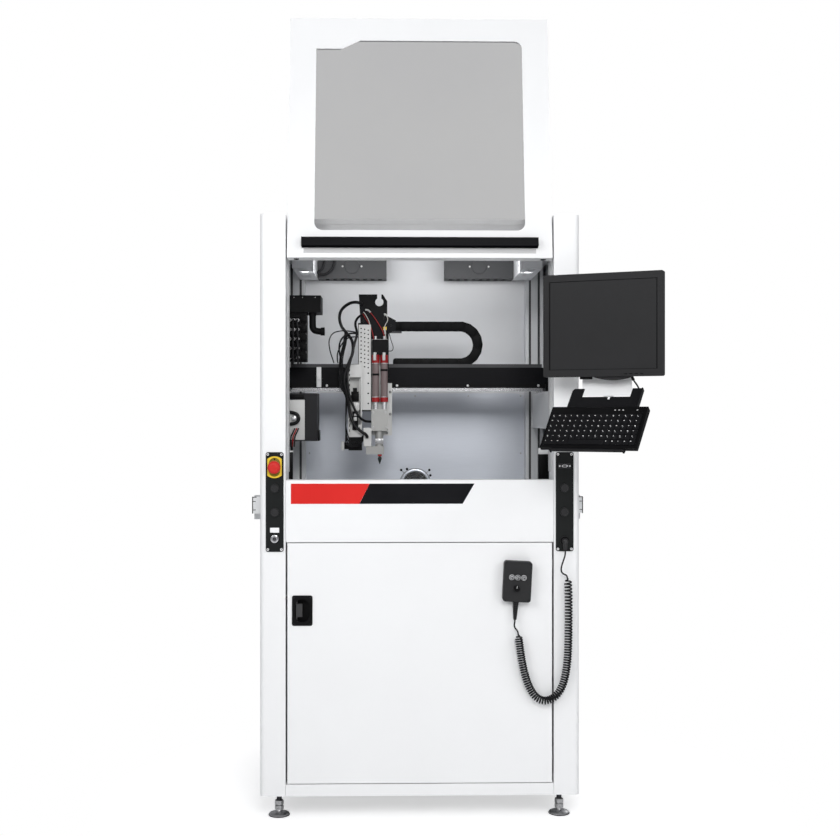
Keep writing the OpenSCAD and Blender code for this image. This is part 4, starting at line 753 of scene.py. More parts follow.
# Four button screws show along the beam's front. Near its left end a bent white strip carries
# the limit switch.
satin_steel = drawn_finish("satin_steel", (0.70, 0.70, 0.71), (60, 60, 900), (0.24, 0.4),
                           metallic=0.75)
bolt = [[0, -1.0], [1.6, -1.0], [1.9, -1.9], [3.6, -1.5], [4.4, -0.4], [4.5, 0.1], [0, 0.1]]
beam_bolts = [(x, beam_y, beam_z + 8) for x in (-310, -70, 173, 416)]
turned_piece("beam_screws", bolt, beam_bolts, satin_steel, "gantry", sides=20)
switch_strip = [block((-345, beam_y - 1.6, beam_z + 3), (-329, beam_y, beam_z + 71.6), 0.3),
                block((-345, beam_y - 1.6, beam_z + 70), (-329, beam_y + 0.6, beam_z + 71.6), 0.3),
                block((-342, beam_y - 12, beam_z + 28), (-332, beam_y - 1, beam_z + 46), 0.8)]
built("switch_strip", switch_strip, cover_paint, "gantry")

# Cable chain: moulded black links, laid along the beam, round a bend and back over itself to
# the head's arm. Each link is a pair of waisted side plates and two cross bars.
(chain_x0, chain_y0, chain_z0), (chain_x1, chain_y1, chain_z1) = box_mm("cable_chain")
chain_h = 33
chain_r = (chain_z1 - chain_z0 - chain_h) / 2
chain_bend_x = chain_x1 - chain_r - chain_h / 2
link = 22
straight, bend = chain_bend_x - chain_x0, math.pi * chain_r


def chain_place(s):
    """Middle of the chain in X and Z and its heading, at a run s from the fixed lower end: a
    straight, a half circle of the chain's bend radius, and a straight back."""
    low_z, high_z = chain_z0 + chain_h / 2, chain_z1 - chain_h / 2
    if s < straight:
        return chain_x0 + s, low_z, 0.0
    a = (s - straight) / chain_r
    if a < math.pi:
        return (chain_bend_x + chain_r * math.sin(a), low_z + chain_r - chain_r * math.cos(a), a)
    return chain_bend_x - (s - straight - bend), high_z, math.pi


def link_outline():
    """Side view of one link: two round ends joined by a waist, as points in X and Z."""
    a = np.linspace(-np.pi / 2, np.pi / 2, 9)
    corner = 9
    r = chain_h / 2 - 0.6 - corner
    right = np.stack([link / 2 - 5.5 + r + corner * np.cos(a),
                      r * np.sign(np.sin(a)) + corner * np.sin(a)], axis=1)
    return np.vstack([right, -right])


def link_mesh(x, z, turned, y0, y1, outline):
    """Plate from y0 to y1 with an outline about a place, turned by an angle, edges chamfered."""
    c, s = math.cos(turned), math.sin(turned)
    rows = []
    for y, scale in [(y0, 0.0), (y0, 0.93), (y0 + 0.5, 1.0), (y1 - 0.5, 1.0), (y1, 0.93),
                     (y1, 0.0)]:
        flat = outline * scale
        rows.append(np.stack([x + flat[:, 0] * c - flat[:, 1] * s, np.full(len(flat), y),
                              z + flat[:, 0] * s + flat[:, 1] * c], axis=1))
    return grid_mesh("link", spots(np.array(rows)), wrap_v=True)


total = 2 * straight + bend
count = int(total // link)
plate_side = link_outline()
bar = np.array([[-4, -1.6], [4, -1.6], [4, 1.6], [-4, 1.6]])
chain_runs = {"chain_lower_run": [], "chain_bend": [], "chain_upper_run": []}
for i in range(count):
    run = (i + 0.5) * total / count
    x, z, turned = chain_place(run)
    part = int(run > straight) + int(run > straight + bend)
    chain = chain_runs[list(chain_runs)[part]]
    inset = 2.2 * (i % 2)
    for y in (chain_y0 + inset + 0.2, chain_y1 - inset - 2.2):
        chain.append(link_mesh(x, z, turned, y, y + 2, plate_side))
    for rise in (-chain_h / 2 + 2.4, chain_h / 2 - 2.4):
        chain.append(link_mesh(x - rise * math.sin(turned), z + rise * math.cos(turned), turned,
                               chain_y0 + 4.5, chain_y1 - 4.5, bar))
# The bend goes half as far as the head. The ends of the lower run, from its fixed end, and of the
# upper run, from the bend to the head, are listed; all three parts are baked where they stand
chain_ends = {"chain_lower_run": (chain_x0, 2 * chain_bend_x - chain_x0),
              "chain_upper_run": (2 * chain_bend_x - chain_x0, chain_x0)}
for name, links in chain_runs.items():
    piece = joined_piece(name, links)
    dress(piece, moulded_black)
    if name in chain_ends:
        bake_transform(piece)
    else:
        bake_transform(piece)
    if name == "chain_lower_run":
        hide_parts("cable_chain")


# Head: a white actuator channel and a drilled cable plate on the black carriage plate; the
# valve hangs on the white slide plate beside them, under two clear cylinders in red collars.
red_plastic = skin_finish("red_plastic", (0.60, 0.028, 0.024), 0.12, (0.35, 0.45), grains=1400,
                          depth=0.00003, specular=0.2)
yellow_plastic = skin_finish("yellow_plastic", (0.82, 0.56, 0.03), 0.06, (0.32, 0.45),
                             grains=1400, depth=0.00003)
clear_tube = skin_finish("clear_tube", (0.17, 0.13, 0.13), 0.12, (0.16, 0.24), clouds=30,
                         specular=0.4)
collar_red = skin_finish("collar_red", (0.30, 0.012, 0.014), 0.15, (0.3, 0.42), grains=1400,
                         specular=0.3)
valve_grey = skin_finish("nickel_plate", (0.33, 0.33, 0.32), 0.12, (0.3, 0.42), metallic=0.35)
head_x = box_mm("valve_plate")[0][0] + 6
face_y = beam_y - 34


def on_head(x, y, z):
    """Millimetres in the machine, from the head's middle, plate front and beam underside."""
    return head_x + x, face_y + y, beam_z + z


def head_box(low, high):
    """The same for the two corners of a box."""
    return on_head(*low), on_head(*high)


dress_parts("z_housing", white_plate,
            (moulded_black, *head_box((-98, -50, -213), (-36, 1, -167))))
dress("valve_plate", white_plate)
dress_parts("fluid_cylinders", clear_tube,
            (moulded_black, *head_box((-5, -45, 110), (51, 1, 170))),
            (satin_steel, *head_box((-5, -45, -74), (51, 1, -49))),
            (collar_red, *head_box((-6, -45, -49), (51, 1, -33))),
            (collar_red, *head_box((-6, -45, 82), (51, 1, 110))))
dress_parts("spray_valve", valve_grey,
            (white_plate, *head_box((-33, -57, -199), (-6.1, -20, -136))),
            (red_plastic, *head_box((14.9, -60, -231.1), (29.1, -30, -224.9))))

# Rims, plungers and air fittings of the two cylinders
rims = [on_head(x, -29, z) for x in (8, 37) for z in (-33, 82)]
turned_piece("cylinder_rims", [[12.1, -2.2], [12.9, -2.2], [13.7, 0], [12.9, 2.2], [12.1, 2.2],
                               [12.1, -2.2]], rims, satin_steel, "valve_slide",
             axis=(0, 0, 1), sides=40)
plungers = [on_head(8, -29, 40), on_head(37, -29, 55)]
turned_piece("cylinder_plungers", [[0, 0], [12.1, 0], [12.4, 1], [12.4, 6], [12.1, 7], [0, 7]],
             plungers, moulded_black, "valve_slide", axis=(0, 0, 1), sides=40)
fittings = [on_head(x, -29, 161) for x in (8, 37)]
turned_piece("cylinder_fittings", [[0, 0], [5, 0], [5, 3], [4, 3.4], [4, 12], [3.4, 12.6],
                                   [0, 12.6]], fittings, satin_steel, "valve_slide",
             axis=(0, 0, 1), sides=24)

# Valve: socket screws in its block, and a knurled stroke ring round the lower body
cap = [[0, 0.9], [2.1, 0.9], [2.1, -2.6], [3.6, -2.6], [3.9, -2.2], [3.9, 0.1], [0, 0.1]]
screws = [on_head(x, -58, z) for x in (0, 42) for z in (-84, -135)]
turned_piece("valve_screws", cap, screws, zinc, "valve_slide", sides=20)
n_knurl = 160
knurl_angle = np.linspace(0, 2 * np.pi, n_knurl, endpoint=False)
knurl_r = 13.4 + 0.7 * (np.arange(n_knurl) % 4 < 2)
ring_x, ring_y, ring_z = on_head(20, -38, -190)
rows = []
for rise, scale in [(0, 0.97), (1, 1), (17, 1), (18, 0.97)]:
    r = knurl_r * scale
    rows.append(np.stack([ring_x + r * np.cos(knurl_angle), ring_y + r * np.sin(knurl_angle),
                          np.full(n_knurl, ring_z + rise)], axis=1))
inner = np.stack([ring_x + 12.8 * np.cos(knurl_angle), ring_y + 12.8 * np.sin(knurl_angle),
                  np.full(n_knurl, ring_z)], axis=1)
rows = [inner] + rows + [inner + np.array([0, 0, 18])]
built("stroke_ring", [grid_mesh("stroke_ring", spots(np.array(rows)), wrap_v=True)], satin_steel,
      "valve_slide")

# Dark hub of the needle, under the valve
hub_skin = skin_finish("needle_hub", (0.014, 0.02, 0.019), 0.3, (0.35, 0.45), grains=1400,
                       specular=0.2)
turned_piece("needle_hub", [[0, 0.2], [4.4, 0.2], [4.8, -3], [6.8, -6.5], [6.4, -11], [2.6, -22],
                            [1.1, -26.5], [0, -26.5]], [on_head(22, -45, -231.2)], hub_skin,
             "valve_slide", axis=(0, 0, 1), sides=28)

# Screws of the carriage plate, its bracket and the slide plate
plate_screws = [on_head(*p) for p in ((-34, 0, 226), (-34, 0, 176), (36, 0, 60), (36, 0, 236),
                                      (60, 0, 212))]
turned_piece("carriage_screws", cap, plate_screws, black_oxide, "head_carriage",
             sides=20)
slide_screws = [on_head(*p) for p in ((46, -14, -142), (46, -14, -154), (1, -14, 152),
                                      (44, -14, 152), (1, -14, -15), (57, -14, -15),
                                      (57, -14, -90))]
turned_piece("slide_screws", cap, slide_screws, black_oxide, "valve_slide", sides=20)


# Hoses and wires of the head. Thick black air hoses and a bundle of thin cables loop from the
# carriage down to the valve, long enough for its stroke. Three wires run to the cylinders and
# are baked where they lie; two ride on the carriage.
def head_route(points, step=5):
    """Smooth route through points given from the head's middle."""
    return spots(smooth_route([on_head(*p) for p in points], step))


hose_skin = skin_finish("black_hose", (0.006, 0.006, 0.007), 0.5, (0.28, 0.42), grains=1200,
                        specular=0.25)
loops = [
    ([[-40, -1.4, 284], [-42, -12, 285], [-60, -14, 289], [-84, 2, 285], [-108, 12, 266],
      [-116, 15, 240], [-110, 16, 212], [-95, 14, 190], [-77, 4, 168], [-69, -20, 144],
      [-70, -46, 112], [-84, -58, 74], [-96, -62, 30], [-92, -62, -4], [-84, -62, -40],
      [-76, -62, -96], [-60, -68, -128],
      [-40, -76, -148], [-24, -75, -158], [-20, -66, -166], [-20, -56.8, -166]], 5.2),
    ([[-40, -1.2, 246], [-42, -12, 245], [-54, -32, 232], [-60, -50, 212], [-54, -64, 180],
      [-62, -72, 144], [-72, -76, 100], [-84, -78, 50], [-84, -78, 10], [-78, -78, -30],
      [-60, -76, -76],
      [-44, -70, -101], [-30, -58, -112], [-16, -47, -115], [-7.2, -44, -115]], 4.2)]
for i in range(4):
    x, y = [(-104, -20), (-108, -27), (-111, -18), (-114, -25)][i]
    loops.append(([[-88 - 3 * i, 12, 190], [-94 - 3 * i, 14, 150], [x, 14, 104],
                   [x, y, 62], [x + 1, y, 10], [-91 - i, y, -30], [-90 - i, y, -70],
                   [-92, y - 22, -130 - 6 * i], [x + 26, y - 48, -176 - 5 * i],
                   [-64 + 3 * i, -66, -186 - 4 * i], [-48 + 2 * i, -56, -178 - 4 * i],
                   [-37 + i, -46, -166 - 4 * i], [-33.5, -42, -160 - 4 * i]], 1.9))
loops = joined_piece("head_hose_loops", [tube_mesh("hose", head_route(points), r / 1000, sides=14)
                                         for points, r in loops])
dress(loops, hose_skin)
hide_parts("head_hoses")
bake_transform(loops)
red_wire = skin_finish("red_wire", (0.36, 0.02, 0.018), 0.2, (0.35, 0.5))
white_wire = skin_finish("white_wire", (0.62, 0.60, 0.56), 0.1, (0.35, 0.5))
wires = [(red_wire, "red_plastic", [[-20, -1.2, 260], [-18, -9, 262], [-8, -14, 252],
                                    [6, -15, 234], [20, -16, 212], [30, -18, 194],
                                    [36, -22, 178], [40, -27, 163]]),
         (white_wire, "white_plate", [[38, -1.2, 244], [40, -8, 247], [47, -11, 240],
                                      [48, -12, 226], [41, -13, 214], [38, -15, 202],
                                      [40, -20, 184], [43, -27, 163]]),
         (red_wire, "red_plastic", [[-38, -1.2, 250], [-34, -9, 248], [-25, -14, 232],
                                    [-12, -18, 212], [-4, -22, 190], [0, -26, 172],
                                    [2, -28, 163]]),
         (white_wire, "white_plate", [[-34, -1.2, 256], [-31, -12, 254], [-21, -19, 238],
                                      [-14, -24, 222], [-10, -28, 206], [-9, -31.5, 190],
                                      [-10, -31.2, 176]]),
         (hose_skin, "rubber", [[49, -1.2, 200], [53, -8, 186], [60, -10, 160], [67, -10, 138],
                                [64, -9, 126], [54, -6, 124], [46, -1.2, 126]])]
for number, (tone, slot, route) in enumerate(wires, 1):
    wire = tube_piece("head_wire_%d" % number, head_route(route, 4), 0.0013, sides=8)
    if number > 3:
        fitted(wire, tone, "head_carriage")
    else:
        dress(wire, tone)
        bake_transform(wire)

# White ferrules on the wires, crimped where they leave the bracket, and a white plug at the
# motor
ferrules = [tube_mesh("ferrule", head_route(route, 3), 0.0030, sides=14)
            for route in ([[-27, -7, 264], [-18, -9.5, 263], [-10, -13.5, 255]],
                          [[36, -8, 249], [42, -8.6, 248], [47, -10.5, 241]])]
sleeve = tube_mesh("sleeve", head_route([[38.4, -16, 197], [39.4, -18.5, 190],
                                         [40.4, -21.5, 182]], 3), 0.0030, sides=14)
built("wire_sleeve", [sleeve], white_plate, "valve_slide")
plug = block(on_head(-108, -36, -212), on_head(-97.5, -14, -182), 1.2)
built("wire_ferrules", ferrules + [plug], white_plate, "head_carriage")

# Drilled cable plate: black push rivets fill its three rows of holes, larger ones below
stud = [[0, -0.9], [1.6, -0.8], [2.3, -0.1], [2.3, 1.6], [0, 1.6]]
holes = [on_head(-41 + 12 * col, -30, 199 - 14 * row - 3 * col) for row in range(10)
         for col in range(3)]
holes += [on_head(x, -30, z - 76) for z in range(22, 125, 34) for x in (-40, -17)]
turned_piece("plate_studs", stud, holes, moulded_black, "head_carriage",
             sides=16)
slots = [block(on_head(-80.6, -46.6, z), on_head(-78, -45.9, z + 9), 0.2)
         for z in range(-150, 70, 17)]
slots += [block(on_head(-49.4, -22, z), on_head(-48.9, -14, z + 5), 0.1)
          for z in range(-60, 190, 21)]
built("channel_slots", slots, moulded_black, "head_carriage")
clamp = [block(on_head(-74, -52, -47), on_head(-48, -45.9, -14), 1.5),
         block(on_head(-70, -51, -144), on_head(-50, -45.9, -82), 1.5),
         block(on_head(-68, -53, -22), on_head(-54, -51.5, -2), 1.0)]
built("channel_clamps", clamp, moulded_black, "head_carriage")
sensor = [block(on_head(-73, -55, -80), on_head(-47, -45.9, -50), 2.0),
          block(on_head(-66, -54, -112), on_head(-54, -50.9, -100), 0.8),
          block(on_head(-64, -53, -96), on_head(-52, -50.9, -89), 0.8)]
built("stroke_sensor", sensor, white_plate, "head_carriage")
elbows = [tube_mesh("elbow", head_route([[x, -44, 92], [x, -46, 100], [x, -46.5, 108],
                                         [x + 1.5, -46, 117]], 2), 0.0052, sides=16)
          for x in (5, 36)]
built("air_elbows", elbows, white_plate, "valve_slide")
built("bracket_mark", [block(on_head(33, -0.4, 196), on_head(45, 0.1, 207), 0)], yellow_plastic,
      "head_carriage")


# Left bank: a stack of black valve modules with bright push-in fittings under a black head
# box, an exhaust elbow at its right, and below it the regulator, a dark box with a white
# front. Both are fixed at the chamber's left side.
bank_grey = skin_finish("regulator_coat", (0.016, 0.016, 0.018), 0.15, (0.4, 0.52), grains=900,
                        specular=0.2)
dress_parts("wall_equipment", moulded_black,
            (bank_grey, (-FAR, -FAR, 0), (FAR, FAR, 1300)))
bank_front, bank_rows, bank_pitch = 280, 5, 31
ports_x, ports_z = (-424, -411, -398), 1412
modules = []
for row in range(bank_rows):
    z = ports_z + 3 + bank_pitch * row
    modules.append(block((-386, bank_front - 4, z - 8), (-370, bank_front + 4, z + 8), 1.2))
    modules.append(block((-433, bank_front + 2, z - 12), (-389, bank_front + 12, z + 3), 1.5))
    modules.append(block((-433, bank_front + 5, z + 5), (-392, bank_front + 12, z + 14), 1.0))
built("valve_modules", modules, moulded_black, "root")
push_in = [[3.1, 0], [3.1, -7], [4.2, -7.4], [5.6, -6.8], [5.8, -1], [5.8, 1], [3.1, 1]]
ports = [(x, bank_front + 2, ports_z + bank_pitch * row) for row in range(bank_rows)
         for x in ports_x]
turned_piece("bank_fittings", push_in, ports, satin_steel, "root", sides=20)
lamps = [(x, bank_front + 1, 1611) for x in (-410, -382, -340)]
turned_piece("bank_lamps", [[0, -2.4], [1, -2.2], [1.6, -1.2], [1.7, 0], [0, 0]], lamps,
             white_plate, "root", sides=14)
tubes = []
for row in range(bank_rows - 1):
    for col, x in enumerate(ports_x):
        z = ports_z + bank_pitch * (row + 1)
        route = [[x, bank_front - 3, z], [x, bank_front - 15, z], [x - 1, bank_front - 24, z - 9],
                 [x - 2 + 2 * col, bank_front - 25, z - 26],
                 [x - 4 + 3 * col, bank_front - 19 - 2 * (row % 2), z - 52],
                 [x - 6 + 3 * col, bank_front - 12, max(z - 84 - 6 * row, 1418 + 3 * row)],
                 [-442 + 5 * col, bank_front - 8 + 4 * row, 1409 + 3 * row],
                 [-462 + 3 * col, bank_front + 2 + 4 * row, 1405 + 3 * row]]
        tubes.append(tube_mesh("tube", spots(smooth_route(route, 6)), 0.003, sides=10))
built("bank_tubes", tubes, hose_skin, "root")
elbow = [[-350, 300, 1566], [-350, 300, 1545], [-350, 300, 1524], [-349, 300, 1512],
         [-343, 300, 1504], [-333, 300, 1501], [-322, 300, 1500], [-310, 300, 1500]]
route = smooth_route(elbow, 3)
elbow_r = np.interp(np.arange(len(route)),
                    [0, 4, 5, len(route) - 6, len(route) - 5, len(route)],
                    [13, 13, 11, 11, 13.5, 13.5])
fitted(tube_piece("exhaust_elbow", spots(route), elbow_r / 1000, sides=28), moulded_black, "root")
built("regulator_front", [block((-434, 327, 1140), (-378, 330.5, 1274), 1.5)], white_plate,
      "root")
built("regulator_cap", [block((-434, 322, 1276), (-380, 330.5, 1291), 2),
                        block((-340, 352, 1136), (-331, 418, 1172), 2)], moulded_black, "root")
loop = [[-434, 319, 1232], [-424, 318, 1232]]
loop += [[-414 + 17 * math.sin(a), 317, 1212 + 17 * math.cos(a)] for a in np.linspace(0.3, 2.9, 8)]
loop += [[-424, 318, 1193], [-434, 319, 1193]]
fitted(tube_piece("regulator_hose", spots(smooth_route(loop, 3)), 0.0055, sides=16), hose_skin,
       "root")
turned_piece("regulator_gauge", [[0, -4.4], [8, -4.2], [9.6, -3.2], [10, 0], [0, 0]],
             [(-413, 327, 1212)], satin_steel, "root")
thin_wires = [(hose_skin, "rubber", -412), (red_wire, "red_plastic", -405),
              (hose_skin, "rubber", -399)]
for number, (tone, slot, x) in enumerate(thin_wires, 1):
    route = [[x, 328, 1178], [x, 320, 1176], [x - 4, 316, 1166], [x - 10, 318, 1154],
             [x - 12, 324, 1144], [x - 14, 334, 1128], [x - 16, 352, 1118]]
    fitted(tube_piece("regulator_wire_%d" % number, spots(smooth_route(route, 3)), 0.0022,
                      sides=10), tone, "root")

# Cables of the cross beam: they lie on its upper face from the left end to the chain's fixed
# end, under two black clips. Three thinner ones rise from it to the head.
cables = []
for lane, (radius, wave) in enumerate([(3.2, 0.0), (2.6, 1.3), (3.4, 2.2), (2.4, 3.6)]):
    y = beam_y + 18 + 7.6 * lane
    z = beam_z + 70 + radius + 0.3
    route = [[-432, y + 10, z - 1], [-420, y + 9, z]]
    route += [[x, y + 1.6 * math.sin(x / 34 + wave), z + 1.1 + 1.1 * math.sin(x / 41 + wave)]
              for x in range(-395, -110, 25)]
    route += [[-96, y, z + 2], [-76, y, z + 3]]
    cables.append(tube_mesh("cable", spots(smooth_route(route, 6)), radius / 1000, sides=12))
built("beam_cables", cables, hose_skin, "gantry")
bows = [([[-136, 28, 86], [-138, 12, 95], [-147, -10, 126], [-149, -24, 158], [-136, -28, 182],
          [-110, -24, 191], [-82, -16, 191], [-60, -9, 188], [-42, -1.4, 186]], 2.0),
        ([[-108, 26, 86], [-110, 10, 96], [-116, -12, 130], [-109, -26, 160], [-90, -26, 178],
          [-66, -14, 184], [-42, -1.4, 178]], 3.0),
        ([[-122, 30, 86], [-123, 14, 96], [-121, -6, 118], [-108, -18, 144], [-88, -20, 166],
          [-62, -12, 172], [-42, -1.4, 170]], 2.2)]
bows = joined_piece("beam_head_cables", [tube_mesh("bow", head_route(points), r / 1000, sides=12)
                                         for points, r in bows])
dress(bows, hose_skin)
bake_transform(bows)
clips = [block((x, beam_y + 11, beam_z + 70.1), (x + 9, beam_y + 50, beam_z + 78.5), 1.2)
         for x in (-372, -312)]
built("cable_clips", clips, moulded_black, "gantry")


# Sides: a black terminal box on a folded white bracket under each side beam; at the left rear
# box a black cable hangs in a loop from the roof
box_right = box_mm("y_rails")[1][0] + 14
terminal = [block((405, 330, 984), (443, 341, 1091), 1.5),
            block((-452, 330, 984), (-418, 341, 1098), 1.5)]
built("terminal_box", terminal, moulded_black, "root")
bracket = [block((404, 326, 1092), (box_right, 342, 1112), 0.8),
           block((-box_right, 326, 1099), (-417, 342, 1104), 0.8)]
built("terminal_bracket", bracket, cover_paint, "root")
hung = [[-330, 740, 1834], [-331, 738, 1812], [-336, 736, 1782], [-345, 735, 1758],
        [-358, 736, 1750], [-353, 738, 1740], [-330, 738, 1742], [-308, 740, 1760],
        [-300, 742, 1790], [-302, 744, 1834]]
fitted(tube_piece("roof_cable", spots(smooth_route(hung, 5)), 0.005, sides=14), hose_skin, "root")


# Conveyor: two extruded aluminium rails with a channel, a green-black flat belt in each,
# ground cross bars and drive shaft. The front rail is fixed; the rear one slides on the bars.
lane_low, lane_high = box_mm("conveyor_front")
lane_y, lane_z = lane_low[1] + 64, lane_high[2]
in_front = (ground_steel, (-FAR, lane_y - 64, lane_z - 70), (FAR, lane_y - 0.2, lane_z))
behind = (ground_steel, (-FAR, lane_y + 28.2, lane_z - 70), (FAR, lane_y + 236, lane_z - 46))
for node in ["conveyor_front", "conveyor_rear"]:
    dress_parts(node, extruded, in_front, behind)
dress("conveyor_shaft", ground_steel)
belt_skin = skin_finish("belt", (0.03, 0.045, 0.04), 0.3, (0.5, 0.65), grains=1500)


def belt_mesh(y0, y1):
    """Skin of a belt round its two rollers: a stadium path, 0.9 mm thick, between two depths."""
    half = lane_high[0] - 20
    radius = 14.2
    run = 4 * half + 2 * math.pi * radius
    s = np.linspace(0, run, 720, endpoint=False)
    a = np.where(s < 2 * half, 0.0, np.clip((s - 2 * half) / radius, 0, np.pi))
    a = a + np.clip((s - 4 * half - math.pi * radius) / radius, 0, np.pi)
    flat = np.where(s < 2 * half, s - half, half)
    back = s - 2 * half - math.pi * radius
    flat = np.where(back > 0, half - np.clip(back, 0, 2 * half), flat)
    normal = np.stack([np.sin(a), np.cos(a)], axis=1)
    middle = np.stack([flat, np.full_like(flat, lane_z - 20)], axis=1)
    rows = []
    for y, depth in [(y0, 0.0), (y1, 0.0), (y1, -0.9), (y0, -0.9)]:
        edge = middle + normal * (radius + 0.4 + depth)
        rows.append(np.stack([edge[:, 0], np.full_like(flat, y), edge[:, 1]], axis=1))
    return grid_mesh("belt", spots(np.array(rows)), wrap_u=True, wrap_v=True)


lip_y, lip_x = lane_low[1] - 0.5, lane_high[0]
lips = []
for side in (-1, 1):
    for low, high in [((lip_x - 3, lane_z - 56), (lip_x, lane_z)),
                      ((lip_x - 15, lane_z - 2.6), (lip_x, lane_z)),
                      ((lip_x - 12, lane_z - 17), (lip_x, lane_z - 14.8)),
                      ((lip_x - 12, lane_z - 45), (lip_x, lane_z - 42.8))]:
        ends = sorted((side * low[0], side * high[0]))
        lips.append(block((ends[0], lip_y, low[1]), (ends[1], lip_y + 0.6, high[1]), 0.1))
built("rail_end_lips", lips, moulded_black, "root")
# Painted light: a thin white sheet on the front end of each rail stands for the light falling on
# the rail's bare metal face
painted_light_spans = [sorted((side * 490, side * (lip_x - 3))) for side in (-1, 1)]
painted_light_sheets = [block((x0, lip_y + 0.2, lane_z - 56), (x1, lip_y + 0.5, lane_z), 0)
            for x0, x1 in painted_light_spans]
built("rail_end_painted_light", painted_light_sheets, cover_paint, "root")
gap_y = box_mm("conveyor_rear")[0][1]
built("front_belt", [belt_mesh(lane_y + 12.2, lane_y + 27.8)], belt_skin, "root")
built("rear_belt", [belt_mesh(gap_y + 0.2, gap_y + 15.8)], belt_skin, "conveyor_rear")


# Cabinet behind the service door: the electrical plate with ducts, drives, relays and a power
# supply, two stainless pressure tanks, and the control computer
plate_grey = skin_finish("electrical_grey", (0.22, 0.225, 0.23), 0.15, (0.4, 0.52), grains=800)
dress("equipment_panel", plate_grey)
brushed = drawn_finish("brushed_stainless", (0.56, 0.56, 0.57), (14, 14, 700), (0.2, 0.36))
tank_right = box_mm("fluid_tanks")[1][0]
dress_parts("fluid_tanks", brushed,
            (bank_grey, (tank_right - 191, -FAR, 0), (FAR, FAR, FAR)))


# Window: a folded white frame leaned back at the top, with a grey tinted clear pane glazed in
# from inside, a black pull handle along its lower edge and two rubber bumpers
pane_glass, glass_tree, glass = finish_of("tinted_pane")
glass.inputs["Transmission Weight"].default_value = 1
glass.inputs["IOR"].default_value = 1.47
glass_skin = place_group(glass_tree, skin, {
    "Colour": (0.52, 0.52, 0.52, 1), "Other colour": (0.50, 0.50, 0.505, 1), "Roughness": 0.01,
    "Other roughness": 0.03, "Clouds per metre": 2, "Grains per metre": 3})
glass_tree.links.new(glass_skin.outputs["Colour"], glass.inputs["Base Color"])
glass_tree.links.new(glass_skin.outputs["Roughness"], glass.inputs["Roughness"])
glass_rays = glass_tree.nodes.new("ShaderNodeLightPath")
shade = glass_tree.nodes.new("ShaderNodeBsdfTransparent")
shade.inputs["Color"].default_value = (0.84, 0.84, 0.84, 1)
through = glass_tree.nodes.new("ShaderNodeMixShader")
glass_tree.links.new(glass_rays.outputs["Is Shadow Ray"], through.inputs["Fac"])
glass_tree.links.new(glass.outputs["BSDF"], through.inputs[1])
glass_tree.links.new(shade.outputs["BSDF"], through.inputs[2])
glass_tree.links.new(through.outputs[0], glass_tree.nodes["Material Output"].inputs["Surface"])
dress("window_pane", pane_glass)
dress("window_handle", anodised)
pivot = sum(box_mm("door_shoes")) / 2
tilted = setting((0, pivot[1], pivot[2]), (-9.9, 0, 0))


def on_window(points):
    """Points drawn on the upright window, from its front face and lower edge, leaned back."""
    return tilted(np.array(points, float) - (0, pivot[1], 40))


dress_parts("window_frame", cover_paint, (rubber, (-391, -4, 1699), (-371, 18, 1704)),
            (rubber, (371, -4, 1699), (391, 18, 1704)))
handle_caps = [block((x - 0.9, -23.6, 31.4), (x + 0.9, -0.3, 59.6), 0.4, on_window)
               for x in (-363.2, 363.2)]
built("handle_end_caps", handle_caps, moulded_black, "window")

# Behind the pane a white strip closes the slot to the roof. Under the handle a grey strip is
# painted shadow: it stands for the shadow that the handle casts on the frame
seal_y, seal_z = box_mm("roof_panel")[0][1:]
roof_seal = [block((-407, seal_y + 2.1, seal_z - 28), (407, seal_y + 4.1, seal_z + 14), 0.5)]
built("roof_seal", roof_seal, cover_paint, "root")
handle_shadow_grey = skin_finish("handle_shadow_grey", (0.52, 0.52, 0.525), 0.05, (0.4, 0.5), grains=700)
handle_shadow_strip = [block((-358, -0.9, 14.5), (358, 0.2, 31.2), 0.3, on_window)]
built("handle_shadow_strip", handle_shadow_strip, handle_shadow_grey, "window")


# Front panel: the same white pan as the covers, with two printed stripes, red and black, whose
# meeting edge slants. They are thin vinyl, so they stand proud by a quarter of a millimetre.
def stripe(name, corners, material):
    """Thin sheet on the front plane from its four corners in X and Z."""
    flat = np.array(corners, float)
    rows = [np.insert(flat, 1, y, axis=1) for y in (0.02, -0.22)]
    centre = flat.mean(axis=0)
    caps = [np.broadcast_to(np.insert(centre, 1, y), (4, 3)) for y in (0.02, -0.22)]
    mesh = grid_mesh(name, spots(np.array([caps[0], rows[0], rows[1], caps[1]])), wrap_v=True)
    built(name, [mesh], material, "root")


stripe_low, stripe_high = 948.7, 1011
red_ink = skin_finish("red_vinyl", (0.66, 0.026, 0.022), 0.06, (0.28, 0.36), grains=300,
                      depth=0.00003, specular=0.12)
black_ink = skin_finish("black_vinyl", (0.0055, 0.0055, 0.007), 0.3, (0.3, 0.4), grains=300,
                        depth=0.00003, specular=0.1)
stripe("red_stripe", [(-397, stripe_low), (-186.6, stripe_low), (-155, stripe_high),
                      (-397, stripe_high)], red_ink)
stripe("black_stripe", [(-186.4, stripe_low), (131.5, stripe_low), (168, stripe_high),
                        (-154.8, stripe_high)], black_ink)


